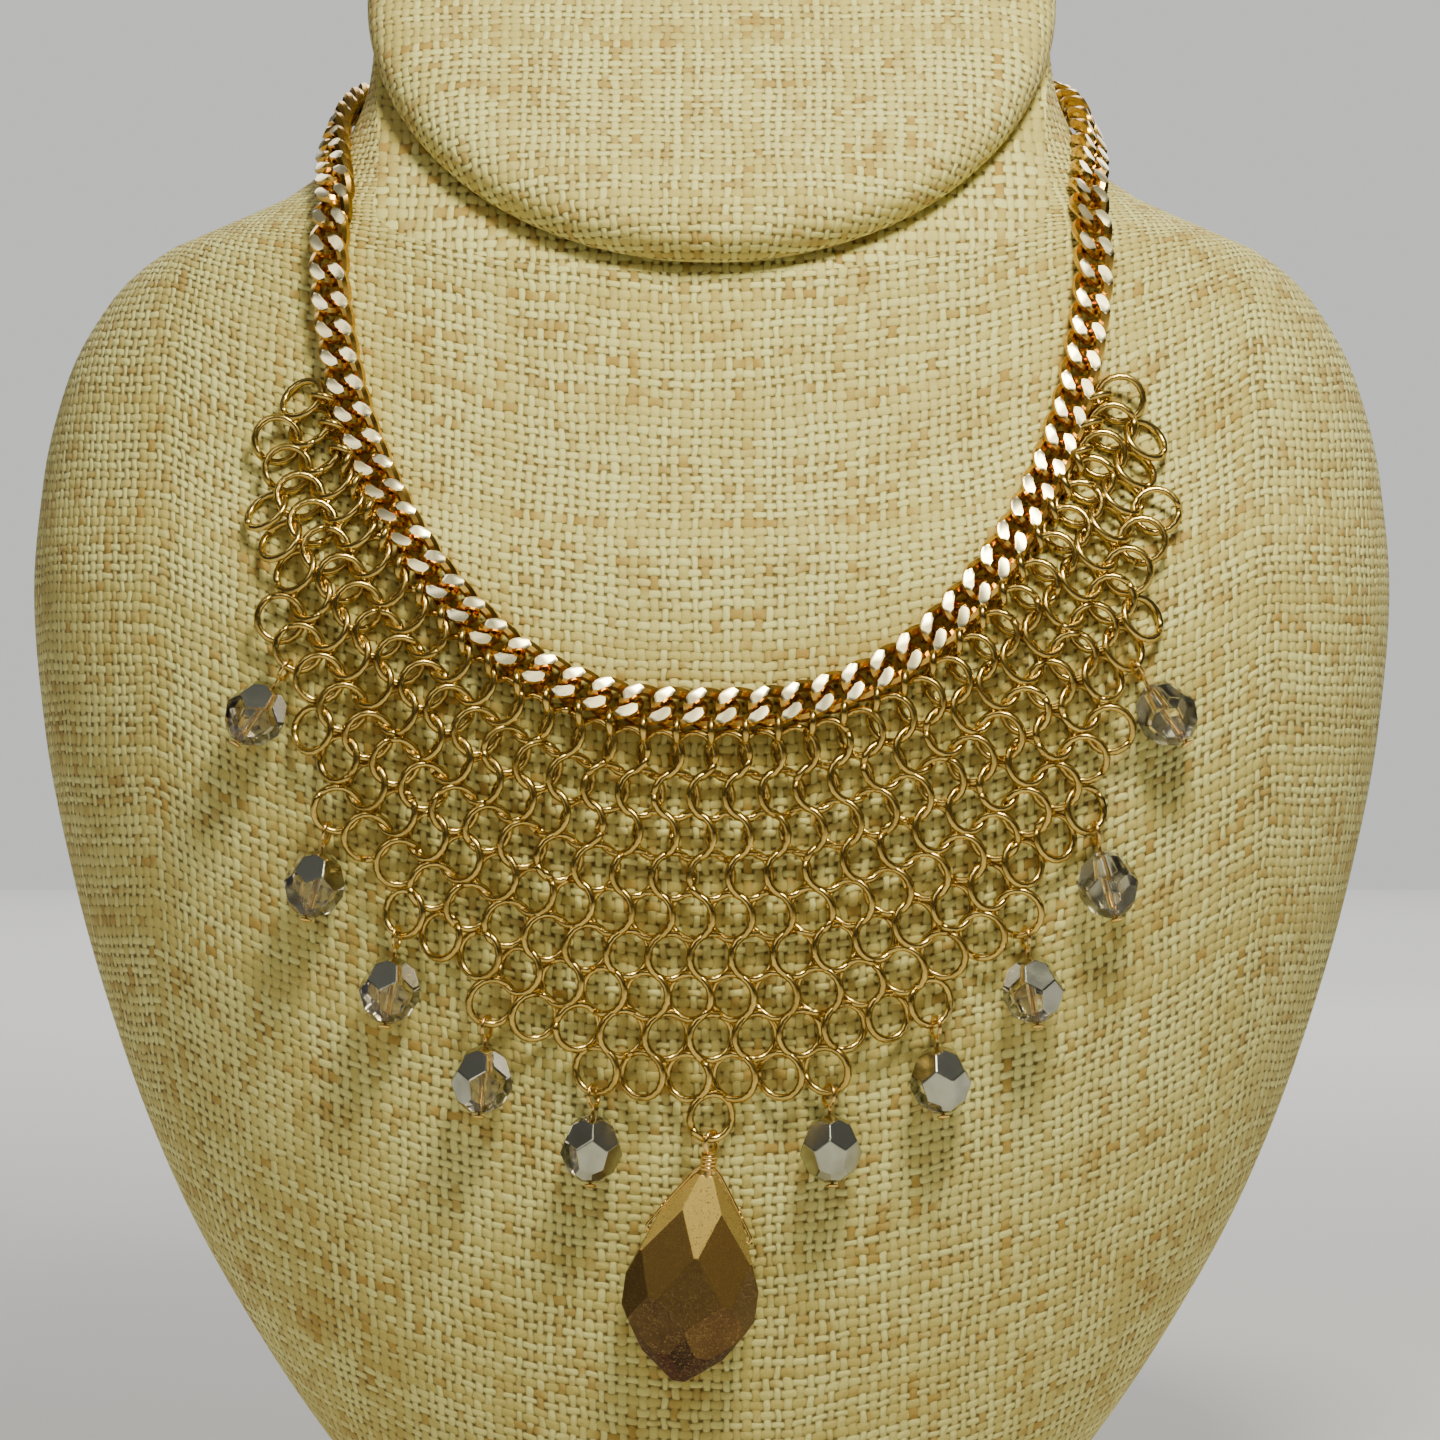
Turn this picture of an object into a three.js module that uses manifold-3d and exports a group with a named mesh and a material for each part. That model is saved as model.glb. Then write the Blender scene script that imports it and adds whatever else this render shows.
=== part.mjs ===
// Bib necklace on a padded neck bust: a flat curb chain, a bib of linked rings below it,
// ten faceted glass beads on pins along the bib's edge and a faceted drop at its point.
// Millimetres and degrees, +Z up. The front faces -Y and the origin is the middle of the flat base.
import * as THREE from 'three';
import { mergeVertices } from 'three/addons/utils/BufferGeometryUtils.js';
import Module from 'manifold-3d';

const wasm = await Module();
wasm.setup();

// Clearance between pieces that touch on the real necklace
const gap = 0.3;

// Bust
const baseHalfWidth = 44.5;
const baseFront = 38;
const baseBack = 38;
const shoulderHeight = 151;
const shoulderHalfWidth = 106.8;
const chestFront = 56;
const backDepth = 52;
const neckHeight = 242;
const neckHalfWidth = 53;
const neckFront = 35;
const neckBack = 38;
const chestSquareness = 2.4;
const neckSquareness = 2.1;
const bustColumns = 28;

// Cap on the slanted end of the neck
const capSlope = 50;
const capCentreDrop = 0.5;
const capThickness = 10;
const capOverhang = 1.4;
const capColumns = 24;

// Curb chain, as the flat loop that its links fill
const chainWidth = 6.4;
const chainThickness = 3.2;
const chainRest = 0.6;
const chainSteps = 80;
const chainSides = 8;

// Clasp behind the neck
const claspLength = 12;
const claspWidth = 5.4;
const claspThickness = 3.4;

// Bib of rings, cut as one pierced sheet in their mid plane
const ringOuter = 8;
const ringWire = 0.8;
const columnPitch = 4.95;
const rowPitch = 5.9;
const bibDrop = 6.9;
const bibThickness = 1.2;
const bibRimWidth = 0.8;
const ringTilt = 22;
const fanPerColumn = 2.2;
const fanGrowth = 0.0012;

// Glass beads on pins
const beadRadius = 4.1;
const beadHalfLength = 4.85;
const beadFacets = 6;
const beadBore = 1.2;
const pinWire = 0.6;
const eyeRadius = 1.6;
const bailTurn = 30;
const pinHeadRadius = 1;
const pinHeadThickness = 0.6;
const beadDrop = 7.9;

// Drop stone and the wire that holds it
const stoneLength = 30.6;
const stoneHalfWidth = 9.9;
const stoneHalfDepth = 4.4;
const stoneLean = 8;
const stoneRest = 1;
const stoneBoreShare = 0.3;
const stoneBore = 1.4;
const bailRadius = 1.6;
const bailWire = 0.8;
const coilRadius = 1.3;
const coilWire = 0.75;
const coilTurns = 4;
const wrapWire = 0.6;

// Strand of that wire: how far it stands off the coil, off the stone's upper edge on its way down
// and off the bore, and how far it goes into the bore
const strandOffCoil = 1.6;
const strandBelowCoil = 0.6;
const strandOffUpperEdge = 1.8;
const strandOffLowerEdge = 1.7;
const strandOffBore = 0.9;
const strandInBore = 1.2;

// The chain's way over one half of the bust. Chest points are [x, drop] in the front view, neck
// points are [turn from the side towards the back, drop]. Drops are measured from the neck's height.
const chestRoute = [
  [0, 111], [14, 109.8], [26.8, 104.6], [36.8, 96], [44.2, 86.8], [50, 76], [54, 65],
  [56.9, 51.5], [57.6, 42], [57, 33.5],
];
const neckRoute = [[-20, 25], [-2, 17.5], [25, 11.5], [55, 8.5], [90, 7.5]];

// Rows of the bib: the outermost column of rings on each side, in columns from the middle
const bibRows = [18.5, 18, 16.5, 14, 11.5, 10, 7.5, 5, 2.5, 0];

// Beads on one side: the ring that carries each, its lean outwards and the turn of its eye
const beadRows = [
  { column: 13, row: 4, lean: 24, turn: 0 },
  { column: 10, row: 6, lean: 4, turn: 0 },
  { column: 7.5, row: 7, lean: 0, turn: 5 },
  { column: 5, row: 8, lean: 0, turn: 15 },
  { column: 2.5, row: 9, lean: 0, turn: 25 },
];

// Bust sections below the shoulders. Each share runs from the base (0) to the shoulders (1).
const lowerSections = [
  { height: 0, width: 0, front: 0, back: 0 },
  { height: 0.02, width: 0.066, front: 0.194, back: 0.21 },
  { height: 0.106, width: 0.241, front: 0.36, back: 0.39 },
  { height: 0.22, width: 0.43, front: 0.53, back: 0.54 },
  { height: 0.371, width: 0.631, front: 0.722, back: 0.714 },
  { height: 0.53, width: 0.782, front: 0.861, back: 0.857 },
  { height: 0.689, width: 0.893, front: 0.961, back: 0.95 },
  { height: 0.848, width: 0.968, front: 1, back: 1 },
  { height: 1, width: 1, front: 0.81, back: 1 },
];

// Bust sections above the shoulders. Heights run from the shoulders (0) to the neck (1), and the
// other shares from the neck's size (0) to the shoulder's (1).
const upperSections = [
  { height: 0.176, width: 0.983, front: 0.56, back: 0.93 },
  { height: 0.352, width: 0.916, front: 0.26, back: 0.75 },
  { height: 0.495, width: 0.784, front: 0.05, back: 0.5 },
  { height: 0.571, width: 0.641, front: 0, back: 0.36 },
  { height: 0.633, width: 0.4, front: 0, back: 0.21 },
  { height: 0.681, width: 0.232, front: 0, back: 0.14 },
  { height: 0.758, width: 0.102, front: 0, back: 0.07 },
  { height: 0.868, width: 0.024, front: 0, back: 0.03 },
  { height: 1, width: 0, front: 0, back: 0 },
];

// Cap profile: height as a share of its thickness, reach as a share of its radius
const capProfile = [
  { height: 0, reach: 0.95 },
  { height: 0.16, reach: 0.99 },
  { height: 0.45, reach: 1 },
  { height: 0.75, reach: 0.975 },
  { height: 0.93, reach: 0.9 },
  { height: 1, reach: 0.7 },
];

// Clasp profile: way from its middle to its ends, and its section as a share of the full one
const claspProfile = [
  { along: -1, swell: 0.55 },
  { along: -0.8, swell: 0.9 },
  { along: -0.4, swell: 1 },
  { along: 0.4, swell: 1 },
  { along: 0.8, swell: 0.9 },
  { along: 1, swell: 0.55 },
];

// Drop stone outline: way from the top, and half width as a share of the widest
const stoneProfile = [
  { down: 0, reach: 0.14 },
  { down: 0.13, reach: 0.42 },
  { down: 0.31, reach: 0.75 },
  { down: 0.6, reach: 1 },
  { down: 0.85, reach: 0.64 },
  { down: 1, reach: 0.1 },
];

// Facet rows of the drop stone: way from the top, and turn of the first facet from the front
const stoneFacetRows = [
  { down: 0.17, turn: 0 },
  { down: 0.36, turn: 45 },
  { down: 0.58, turn: 0 },
  { down: 0.75, turn: 45 },
  { down: 0.9, turn: 0 },
];

const rad = THREE.MathUtils.degToRad;
const mix = THREE.MathUtils.lerp;

// Materials
const cloth = new THREE.MeshStandardMaterial({ color: 0xd8c294, roughness: 0.95, metalness: 0 });
const gold = new THREE.MeshStandardMaterial({ color: 0xc9a24a, roughness: 0.25, metalness: 1 });
const glass = new THREE.MeshStandardMaterial({ color: 0xd9c7a0, roughness: 0.08, metalness: 0.2 });
const bronze = new THREE.MeshStandardMaterial({ color: 0x7a4a26, roughness: 0.4, metalness: 0.5 });

// Closed solid of a geometry, its shared vertices merged
function solidOf(geometry) {
  const plain = geometry.clone();
  plain.deleteAttribute('normal');
  plain.deleteAttribute('uv');
  const merged = mergeVertices(plain, 1e-4);
  return new wasm.Manifold(new wasm.Mesh({
    numProp: 3,
    vertProperties: new Float32Array(merged.attributes.position.array),
    triVerts: new Uint32Array(merged.index.array),
  }));
}

function geometryOf(solid) {
  const mesh = solid.getMesh();
  const geometry = new THREE.BufferGeometry();
  geometry.setAttribute('position', new THREE.BufferAttribute(new Float32Array(mesh.vertProperties), 3));
  geometry.setIndex(new THREE.BufferAttribute(new Uint32Array(mesh.triVerts), 1));
  geometry.computeVertexNormals();
  return geometry;
}

function joined(geometries) {
  let solid = solidOf(geometries[0]);
  for (const geometry of geometries.slice(1)) {
    solid = solid.add(solidOf(geometry));
  }
  return geometryOf(solid);
}

// Cuts off what lies beyond a plane, given by its outward normal and one point on it
function cutBeyond(solid, normal, point) {
  const outward = normal.clone().normalize();
  return solid.trimByPlane([-outward.x, -outward.y, -outward.z], -outward.dot(point));
}

// Smooth curve through rows of a table, with no overshoot between them
function smoothColumn(rows, along, key) {
  const at = rows.map((row) => row[along]);
  const value = rows.map((row) => row[key]);
  const last = rows.length - 1;
  const rise = at.slice(1).map((end, i) => (value[i + 1] - value[i]) / (end - at[i]));
  const slope = value.map((_, i) => {
    if (i === 0) return rise[0];
    if (i === last) return rise[last - 1];
    const product = rise[i - 1] * rise[i];
    return product > 0 ? (2 * product) / (rise[i - 1] + rise[i]) : 0;
  });
  return (where) => {
    const held = THREE.MathUtils.clamp(where, at[0], at[last]);
    const i = Math.min(last - 1, Math.max(0, at.findIndex((end) => end > held) - 1));
    const inSpan = held >= at[last] ? last - 1 : i;
    const span = at[inSpan + 1] - at[inSpan];
    const t = (held - at[inSpan]) / span;
    const start = value[inSpan] * (1 + 2 * t) * (1 - t) ** 2 + slope[inSpan] * span * t * (1 - t) ** 2;
    const end = value[inSpan + 1] * t * t * (3 - 2 * t) - slope[inSpan + 1] * span * t * t * (1 - t);
    return start + end;
  };
}

// Bust surface
const shoulderFront = mix(baseFront, chestFront, lowerSections.at(-1).front);
const bustSections = [
  ...lowerSections.map((row) => ({
    z: row.height * shoulderHeight,
    width: mix(baseHalfWidth, shoulderHalfWidth, row.width),
    front: mix(baseFront, chestFront, row.front),
    back: mix(baseBack, backDepth, row.back),
    squareness: chestSquareness,
  })),
  ...upperSections.map((row) => ({
    z: mix(shoulderHeight, neckHeight, row.height),
    width: mix(neckHalfWidth, shoulderHalfWidth, row.width),
    front: mix(neckFront, shoulderFront, row.front),
    back: mix(neckBack, backDepth, row.back),
    squareness: mix(neckSquareness, chestSquareness, row.width),
  })),
];
const widthAt = smoothColumn(bustSections, 'z', 'width');
const frontAt = smoothColumn(bustSections, 'z', 'front');
const backAt = smoothColumn(bustSections, 'z', 'back');
const squarenessAt = smoothColumn(bustSections, 'z', 'squareness');
const middleAt = (z) => (backAt(z) - frontAt(z)) / 2;
const depthAt = (z) => (backAt(z) + frontAt(z)) / 2;

function bustField(x, y, z) {
  const power = squarenessAt(z);
  return Math.abs(x / widthAt(z)) ** power + Math.abs((y - middleAt(z)) / depthAt(z)) ** power;
}

function bustNormal(point) {
  const { x, y, z } = point;
  const step = 0.05;
  return new THREE.Vector3(
    bustField(x + step, y, z) - bustField(x - step, y, z),
    bustField(x, y + step, z) - bustField(x, y - step, z),
    bustField(x, y, z + step) - bustField(x, y, z - step),
  ).normalize();
}

// Point of the bust at a turn from its right side towards the back
function roundBust(turn, z) {
  const power = 2 / squarenessAt(z);
  const across = Math.cos(turn);
  const along = Math.sin(turn);
  return new THREE.Vector3(
    widthAt(z) * Math.sign(across) * Math.abs(across) ** power,
    middleAt(z) + depthAt(z) * Math.sign(along) * Math.abs(along) ** power,
    z,
  );
}

// Point of the bust's front at a place of the front view
function frontOfBust(x, z) {
  const power = squarenessAt(z);
  const inside = Math.max(0, 1 - Math.abs(x / widthAt(z)) ** power);
  return new THREE.Vector3(x, middleAt(z) - depthAt(z) * inside ** (1 / power), z);
}

function lifted(foot, lift) {
  return foot.clone().addScaledVector(bustNormal(foot), lift);
}

// Closed shell through rings of points, from the bottom ring to the top one
function loft(rings) {
  const count = rings[0].length;
  const middle = (ring) => ring.reduce((sum, p) => sum.add(p), new THREE.Vector3()).divideScalar(count);
  const points = [...rings.flat(), middle(rings[0]), middle(rings.at(-1))];
  const bottom = points.length - 2;
  const top = points.length - 1;
  const faces = [];
  for (let r = 0; r < rings.length - 1; r += 1) {
    for (let i = 0; i < count; i += 1) {
      const a = r * count + i;
      const b = r * count + ((i + 1) % count);
      faces.push(a, b, b + count, a, b + count, a + count);
    }
  }
  const topRing = (rings.length - 1) * count;
  for (let i = 0; i < count; i += 1) {
    const next = (i + 1) % count;
    faces.push(bottom, next, i, top, topRing + i, topRing + next);
  }
  const geometry = new THREE.BufferGeometry().setFromPoints(points);
  geometry.setIndex(faces);
  return geometry;
}

// Slanted end of the neck
const capNormal = new THREE.Vector3(0, -Math.sin(rad(capSlope)), Math.cos(rad(capSlope)));
const capUp = new THREE.Vector3(0, Math.cos(rad(capSlope)), Math.sin(rad(capSlope)));
const capCentre = new THREE.Vector3(0, (neckBack - neckFront) / 2, neckHeight - capCentreDrop);
const capHalfWidth = neckHalfWidth + capOverhang;
const capHalfLength = (neckBack + neckFront) / 2 / Math.cos(rad(capSlope)) + capOverhang;

function bustBody() {
  const cutTop = capCentre.z + capHalfLength + capThickness;
  const rows = bustSections.map((section) => section.z);
  const neckRows = rows.slice(lowerSections.length + 2);
  const between = neckRows.slice(1).map((z, i) => (z + neckRows[i]) / 2);
  const heights = [...rows, ...between].sort((a, b) => a - b).concat(cutTop);
  const rings = heights.map((z) => Array.from({ length: bustColumns }, (_, i) => {
    const foot = roundBust((i / bustColumns) * 2 * Math.PI, Math.min(z, neckHeight));
    return foot.setZ(z);
  }));
  return geometryOf(cutBeyond(solidOf(loft(rings)), capNormal, capCentre));
}

function neckCap() {
  const rings = capProfile.map(({ height, reach }) => Array.from({ length: capColumns }, (_, i) => {
    const turn = (i / capColumns) * 2 * Math.PI;
    return capCentre.clone()
      .addScaledVector(capNormal, gap + height * capThickness)
      .add(new THREE.Vector3(capHalfWidth * reach * Math.cos(turn), 0, 0))
      .addScaledVector(capUp, capHalfLength * reach * Math.sin(turn));
  }));
  return loft(rings);
}

// Curb chain
const chainLift = Math.max(chainThickness, claspThickness) / 2 + chainRest;

function halfRoute(lift) {
  return [
    ...chestRoute.map(([x, drop]) => lifted(frontOfBust(x, neckHeight - drop), lift)),
    ...neckRoute.map(([turn, drop]) => lifted(roundBust(rad(turn), neckHeight - drop), lift)),
  ];
}

function mirrored(point) {
  return new THREE.Vector3(-point.x, point.y, point.z);
}

const rightRoute = halfRoute(chainLift);
const leftRoute = rightRoute.slice(1, -1).map(mirrored).reverse();
const chainCurve = new THREE.CatmullRomCurve3([...rightRoute, ...leftRoute], true, 'centripetal');
chainCurve.arcLengthDivisions = 2000;
const chainLength = chainCurve.getLength();

// Frame on the chain's way: x along it, y across it on the bust, z off the bust
function chainFrame(way) {
  const share = ((way / chainLength) % 1 + 1) % 1;
  const point = chainCurve.getPointAt(share);
  const tangent = chainCurve.getTangentAt(share);
  const off = bustNormal(point);
  off.addScaledVector(tangent, -off.dot(tangent)).normalize();
  const across = new THREE.Vector3().crossVectors(off, tangent);
  return new THREE.Matrix4().makeBasis(tangent, across, off).setPosition(point);
}

// Ring of the chain's section at a place on its way
function chainRing(way, width, thickness) {
  const frame = chainFrame(way);
  const reach = 1 / Math.cos(Math.PI / chainSides);
  return Array.from({ length: chainSides }, (_, i) => {
    const turn = ((i + 0.5) / chainSides) * 2 * Math.PI;
    const across = (width / 2) * reach * Math.cos(turn);
    const off = (thickness / 2) * reach * Math.sin(turn);
    return new THREE.Vector3(0, across, off).applyMatrix4(frame);
  });
}

function curbChain() {
  const reach = chainLength / 2 - claspLength / 2 - gap;
  return loft(Array.from({ length: chainSteps + 1 }, (_, i) => (
    chainRing(mix(-reach, reach, i / chainSteps), chainWidth, chainThickness)
  )));
}

function clasp() {
  return loft(claspProfile.map(({ along, swell }) => (
    chainRing((chainLength + along * claspLength) / 2, claspWidth * swell, claspThickness * swell)
  )));
}

// Bib
const bibLift = (ringOuter / 2) * Math.sin(rad(ringTilt)) + ringWire / 2;
const bibSpread = bibRows[0] + 1;
const firstRowCurve = bibFirstRow();

// Curve of the first row's ring centres in the front view, below the chain by the bib's drop
function bibFirstRow() {
  const samples = 40;
  const half = [];
  const reach = (columnPitch * bibSpread * 1.3) / chainLength;
  for (let i = 0; i <= samples; i += 1) {
    const share = (i / samples) * reach;
    const point = chainCurve.getPointAt(share);
    const tangent = chainCurve.getTangentAt(share);
    const side = new THREE.Vector2(tangent.z, -tangent.x).normalize();
    const foot = frontOfBust(point.x + side.x * bibDrop, point.z + side.y * bibDrop);
    half.push(lifted(foot, bibLift).setX(i === 0 ? 0 : foot.x));
  }
  const curve = new THREE.CatmullRomCurve3(half, false, 'centripetal');
  curve.arcLengthDivisions = 1000;
  return curve;
}

// Front view place of a ring, given in columns from the middle and rows from the top
function bibPlace(column, row) {
  const side = Math.sign(column) || 1;
  const columns = Math.abs(column);
  const start = firstRowCurve.getPointAt((columns * columnPitch) / firstRowCurve.getLength());
  const fan = rad(fanPerColumn * columns + fanGrowth * columns ** 3);
  const down = (row - 1) * rowPitch;
  return new THREE.Vector2(side * (start.x + down * Math.sin(fan)), start.z - down * Math.cos(fan));
}

function bibFoot(column, row) {
  const { x, y } = bibPlace(column, row);
  return frontOfBust(x, y);
}

const holeHalfWidth = 0.5 - ringWire / 2 / columnPitch;
const holeHalfHeight = (ringOuter / 2 - ringWire / 2) / rowPitch;
const bibRim = holeHalfHeight + bibRimWidth / rowPitch;
const bibHook = holeHalfHeight + bibRimWidth / 2 / rowPitch;
const bibTop = 1 - (bibDrop - chainWidth / 2 - gap) / rowPitch;
const bibSide = holeHalfWidth + ringWire / columnPitch;

function ringHole(column, row) {
  const corner = holeHalfHeight / 2;
  const outline = [
    [0, -holeHalfHeight], [holeHalfWidth, -corner], [holeHalfWidth, corner],
    [0, holeHalfHeight], [-holeHalfWidth, corner], [-holeHalfWidth, -corner],
  ];
  return new THREE.Path(outline.map(([c, r]) => bibPlace(column + c, row + r)));
}

// Outline of one side of the bib, from the middle of the top round to the point at the bottom
function bibOutline() {
  const corners = [];
  for (let column = 0; column < bibRows[0] - 1; column += 2) {
    corners.push([column, bibTop]);
  }
  corners.push([bibRows[0] + bibSide, bibTop]);
  bibRows.forEach((end, i) => {
    const row = i + 1;
    corners.push([end + bibSide, row + holeHalfHeight / 2]);
    if (row > 1 && row < bibRows.length) {
      corners.push([end, row + bibRim]);
      for (let column = end - 1; column > bibRows[row] + 2 * bibSide; column -= 1) {
        corners.push([column, row + bibRim]);
      }
    }
    if (row < bibRows.length) {
      corners.push([bibRows[row] + bibSide, row + bibRim]);
    }
  });
  corners.push([0, bibRows.length + bibRim]);
  return corners;
}

function mailBib() {
  const half = bibOutline();
  const left = half.slice(1, -1).map(([column, row]) => [-column, row]);
  const outline = [...left, ...half.reverse()];
  const shape = new THREE.Shape(outline.map(([column, row]) => bibPlace(column, row)));
  bibRows.forEach((end, i) => {
    const row = i + 1;
    const carriesBead = row > 6 && row < bibRows.length;
    if (row % 2 === 0) {
      for (let column = -end; column <= end; column += 1) {
        shape.holes.push(ringHole(column, row));
      }
    } else if (carriesBead) {
      shape.holes.push(ringHole(end, row), ringHole(-end, row));
    }
  });
  const geometry = new THREE.ExtrudeGeometry(shape, { depth: 1, bevelEnabled: false });
  const position = geometry.attributes.position;
  for (let i = 0; i < position.count; i += 1) {
    const foot = frontOfBust(position.getX(i), position.getY(i));
    const place = lifted(foot, bibLift + (position.getZ(i) - 0.5) * bibThickness);
    position.setXYZ(i, place.x, place.y, place.z);
  }
  return geometryOf(solidOf(geometry));
}

// Frame with z along a direction, and x turned from the bust's normal
function hangingFrame(origin, down, turn) {
  const axis = down.clone().negate().normalize();
  const off = bustNormal(origin);
  off.addScaledVector(axis, -off.dot(axis)).normalize();
  const across = new THREE.Vector3().crossVectors(axis, off);
  const frame = new THREE.Matrix4().makeBasis(off, across, axis).setPosition(origin);
  return frame.multiply(new THREE.Matrix4().makeRotationZ(rad(turn)));
}

// Beads and pins, made with the eye's centre at the origin and the pin hanging down -z
function pinOnEye() {
  const stemLength = beadDrop + beadHalfLength + gap + pinHeadThickness / 2 - eyeRadius;
  const stem = new THREE.CylinderGeometry(pinWire / 2, pinWire / 2, stemLength, 5);
  stem.rotateX(Math.PI / 2).translate(0, 0, -eyeRadius - stemLength / 2);
  const eye = new THREE.TorusGeometry(eyeRadius, pinWire / 2, 5, 10);
  eye.rotateX(Math.PI / 2);
  const head = new THREE.CylinderGeometry(pinHeadRadius, pinHeadRadius, pinHeadThickness, 6);
  head.rotateX(Math.PI / 2).translate(0, 0, -beadDrop - beadHalfLength - gap - pinHeadThickness / 2);
  return joined([stem, eye, head]);
}

// Facets lie on an oval bead: two rows round the middle and two near the ends, and a flat table
// at each end where the bore comes out
function facetedBead() {
  const rows = [
    { slope: 34, turn: 0 }, { slope: 68, turn: 0.5 }, { slope: 112, turn: 0 }, { slope: 146, turn: 0.5 },
  ];
  const reach = beadRadius * Math.cos(Math.PI / beadFacets) ** 0.5;
  let bead = solidOf(new THREE.BoxGeometry(beadRadius * 3, beadRadius * 3, beadHalfLength * 2));
  for (const { slope, turn } of rows) {
    for (let i = 0; i < beadFacets; i += 1) {
      const around = ((i + turn) / beadFacets) * 2 * Math.PI;
      const normal = new THREE.Vector3().setFromSphericalCoords(1, rad(slope), around);
      const facing = new THREE.Vector3(normal.x, normal.z, normal.y);
      const support = Math.hypot(reach * Math.sin(rad(slope)), beadHalfLength * 1.04 * Math.cos(rad(slope)));
      bead = cutBeyond(bead, facing, facing.clone().multiplyScalar(support));
    }
  }
  const bore = new THREE.CylinderGeometry(beadBore / 2, beadBore / 2, beadHalfLength * 3, 6);
  bead = bead.subtract(solidOf(bore.rotateX(Math.PI / 2)));
  return geometryOf(bead).translate(0, 0, -beadDrop);
}

// Where a bead hangs: its eye goes round the rim of the ring, and the bead rests on the bust
function beadFrame({ column, row, lean, turn }, side) {
  const eye = lifted(bibFoot(side * column, row + bibHook), bibLift);
  const tilt = rad(lean) * side;
  const beadFoot = frontOfBust(eye.x + beadDrop * Math.sin(tilt), eye.z - beadDrop * Math.cos(tilt));
  const centre = lifted(beadFoot, beadRadius + 2 * gap);
  return hangingFrame(eye, centre.sub(eye), side * turn);
}

// Drop stone, its top at the origin and its tip down -z
const stoneReachAt = smoothColumn(stoneProfile, 'down', 'reach');

function stonePoint(down, turn) {
  const reach = stoneReachAt(down);
  return new THREE.Vector3(
    stoneHalfWidth * reach * Math.sin(turn),
    -stoneHalfDepth * reach * Math.cos(turn),
    -down * stoneLength,
  );
}

function stoneNormal(down, turn) {
  const step = 0.01;
  const along = stonePoint(down + step, turn).sub(stonePoint(down - step, turn));
  const round = stonePoint(down, turn + step).sub(stonePoint(down, turn - step));
  return along.cross(round).normalize();
}

function dropStone() {
  const block = new THREE.BoxGeometry(stoneHalfWidth * 2, stoneHalfDepth * 2, stoneLength);
  let stone = solidOf(block.translate(0, 0, -stoneLength / 2));
  for (const { down, turn } of stoneFacetRows) {
    for (let quarter = 0; quarter < 4; quarter += 1) {
      const around = rad(turn + quarter * 90);
      stone = cutBeyond(stone, stoneNormal(down, around), stonePoint(down, around));
    }
  }
  const bore = new THREE.CylinderGeometry(stoneBore / 2, stoneBore / 2, stoneHalfWidth * 4, 8);
  bore.rotateZ(Math.PI / 2).translate(0, 0, -stoneBoreShare * stoneLength);
  return geometryOf(stone.subtract(solidOf(bore)));
}

// Tube of a round wire along a curve
function wireAlong(points, wire, steps, sides) {
  const section = new THREE.Shape();
  for (let i = 0; i < sides; i += 1) {
    const turn = (i / sides) * 2 * Math.PI;
    const corner = [(wire / 2) * Math.cos(turn), (wire / 2) * Math.sin(turn)];
    if (i === 0) section.moveTo(...corner);
    else section.lineTo(...corner);
  }
  const path = new THREE.CatmullRomCurve3(points, false, 'centripetal');
  return new THREE.ExtrudeGeometry(section, { steps, bevelEnabled: false, extrudePath: path });
}

// Wire of the drop: a bail, a wound coil and one strand that goes through the stone and back
const coilLength = coilTurns * coilWire;
const coilTop = coilLength + gap;

function stoneWire() {
  const bail = new THREE.TorusGeometry(bailRadius, bailWire / 2, 5, 10);
  bail.rotateY(rad(90 - bailTurn)).translate(0, 0, coilTop + bailRadius);
  const ribs = [new THREE.Vector2(0, gap)];
  for (let i = 0; i < coilTurns; i += 1) {
    ribs.push(new THREE.Vector2(coilRadius - coilWire / 4, gap + i * coilWire));
    ribs.push(new THREE.Vector2(coilRadius, gap + (i + 0.5) * coilWire));
  }
  ribs.push(new THREE.Vector2(coilRadius - coilWire / 4, coilTop), new THREE.Vector2(0, coilTop));
  const coil = new THREE.LatheGeometry(ribs, 8).rotateX(Math.PI / 2);
  const boreHeight = -stoneBoreShare * stoneLength;
  const edge = stoneHalfWidth * stoneReachAt(stoneBoreShare);
  const strand = [1, -1].map((side) => [
    new THREE.Vector3(side * coilRadius * 0.5, 0, gap + coilLength * 0.5),
    new THREE.Vector3(side * (coilRadius + strandOffCoil), 0, -strandBelowCoil),
    new THREE.Vector3(side * (edge * 0.72 + strandOffUpperEdge), 0, boreHeight * 0.52),
    new THREE.Vector3(side * (edge + strandOffLowerEdge), 0, boreHeight * 0.9),
    new THREE.Vector3(side * (edge + strandOffBore), 0, boreHeight),
    new THREE.Vector3(side * (edge - strandInBore), 0, boreHeight),
  ]);
  const through = [...strand[0], ...strand[1].reverse()];
  return joined([bail, coil, wireAlong(through, wrapWire, 22, 5)]);
}

function stoneFrame() {
  const eye = lifted(bibFoot(0, bibRows.length + bibHook), bibLift);
  const bailToTop = coilTop + bailRadius;
  const tilt = rad(-stoneLean);
  const middleDown = bailToTop + stoneLength * 0.6;
  const foot = frontOfBust(eye.x + middleDown * Math.sin(tilt), eye.z - middleDown * Math.cos(tilt));
  const middle = lifted(foot, stoneHalfDepth + stoneRest);
  const down = middle.sub(eye).normalize();
  const top = eye.clone().addScaledVector(down, bailToTop);
  const axis = down.clone().negate();
  const off = bustNormal(foot);
  off.addScaledVector(axis, -off.dot(axis)).normalize();
  const front = off.clone().negate();
  const across = new THREE.Vector3().crossVectors(front, axis);
  return new THREE.Matrix4().makeBasis(across, front, axis).setPosition(top);
}

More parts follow.
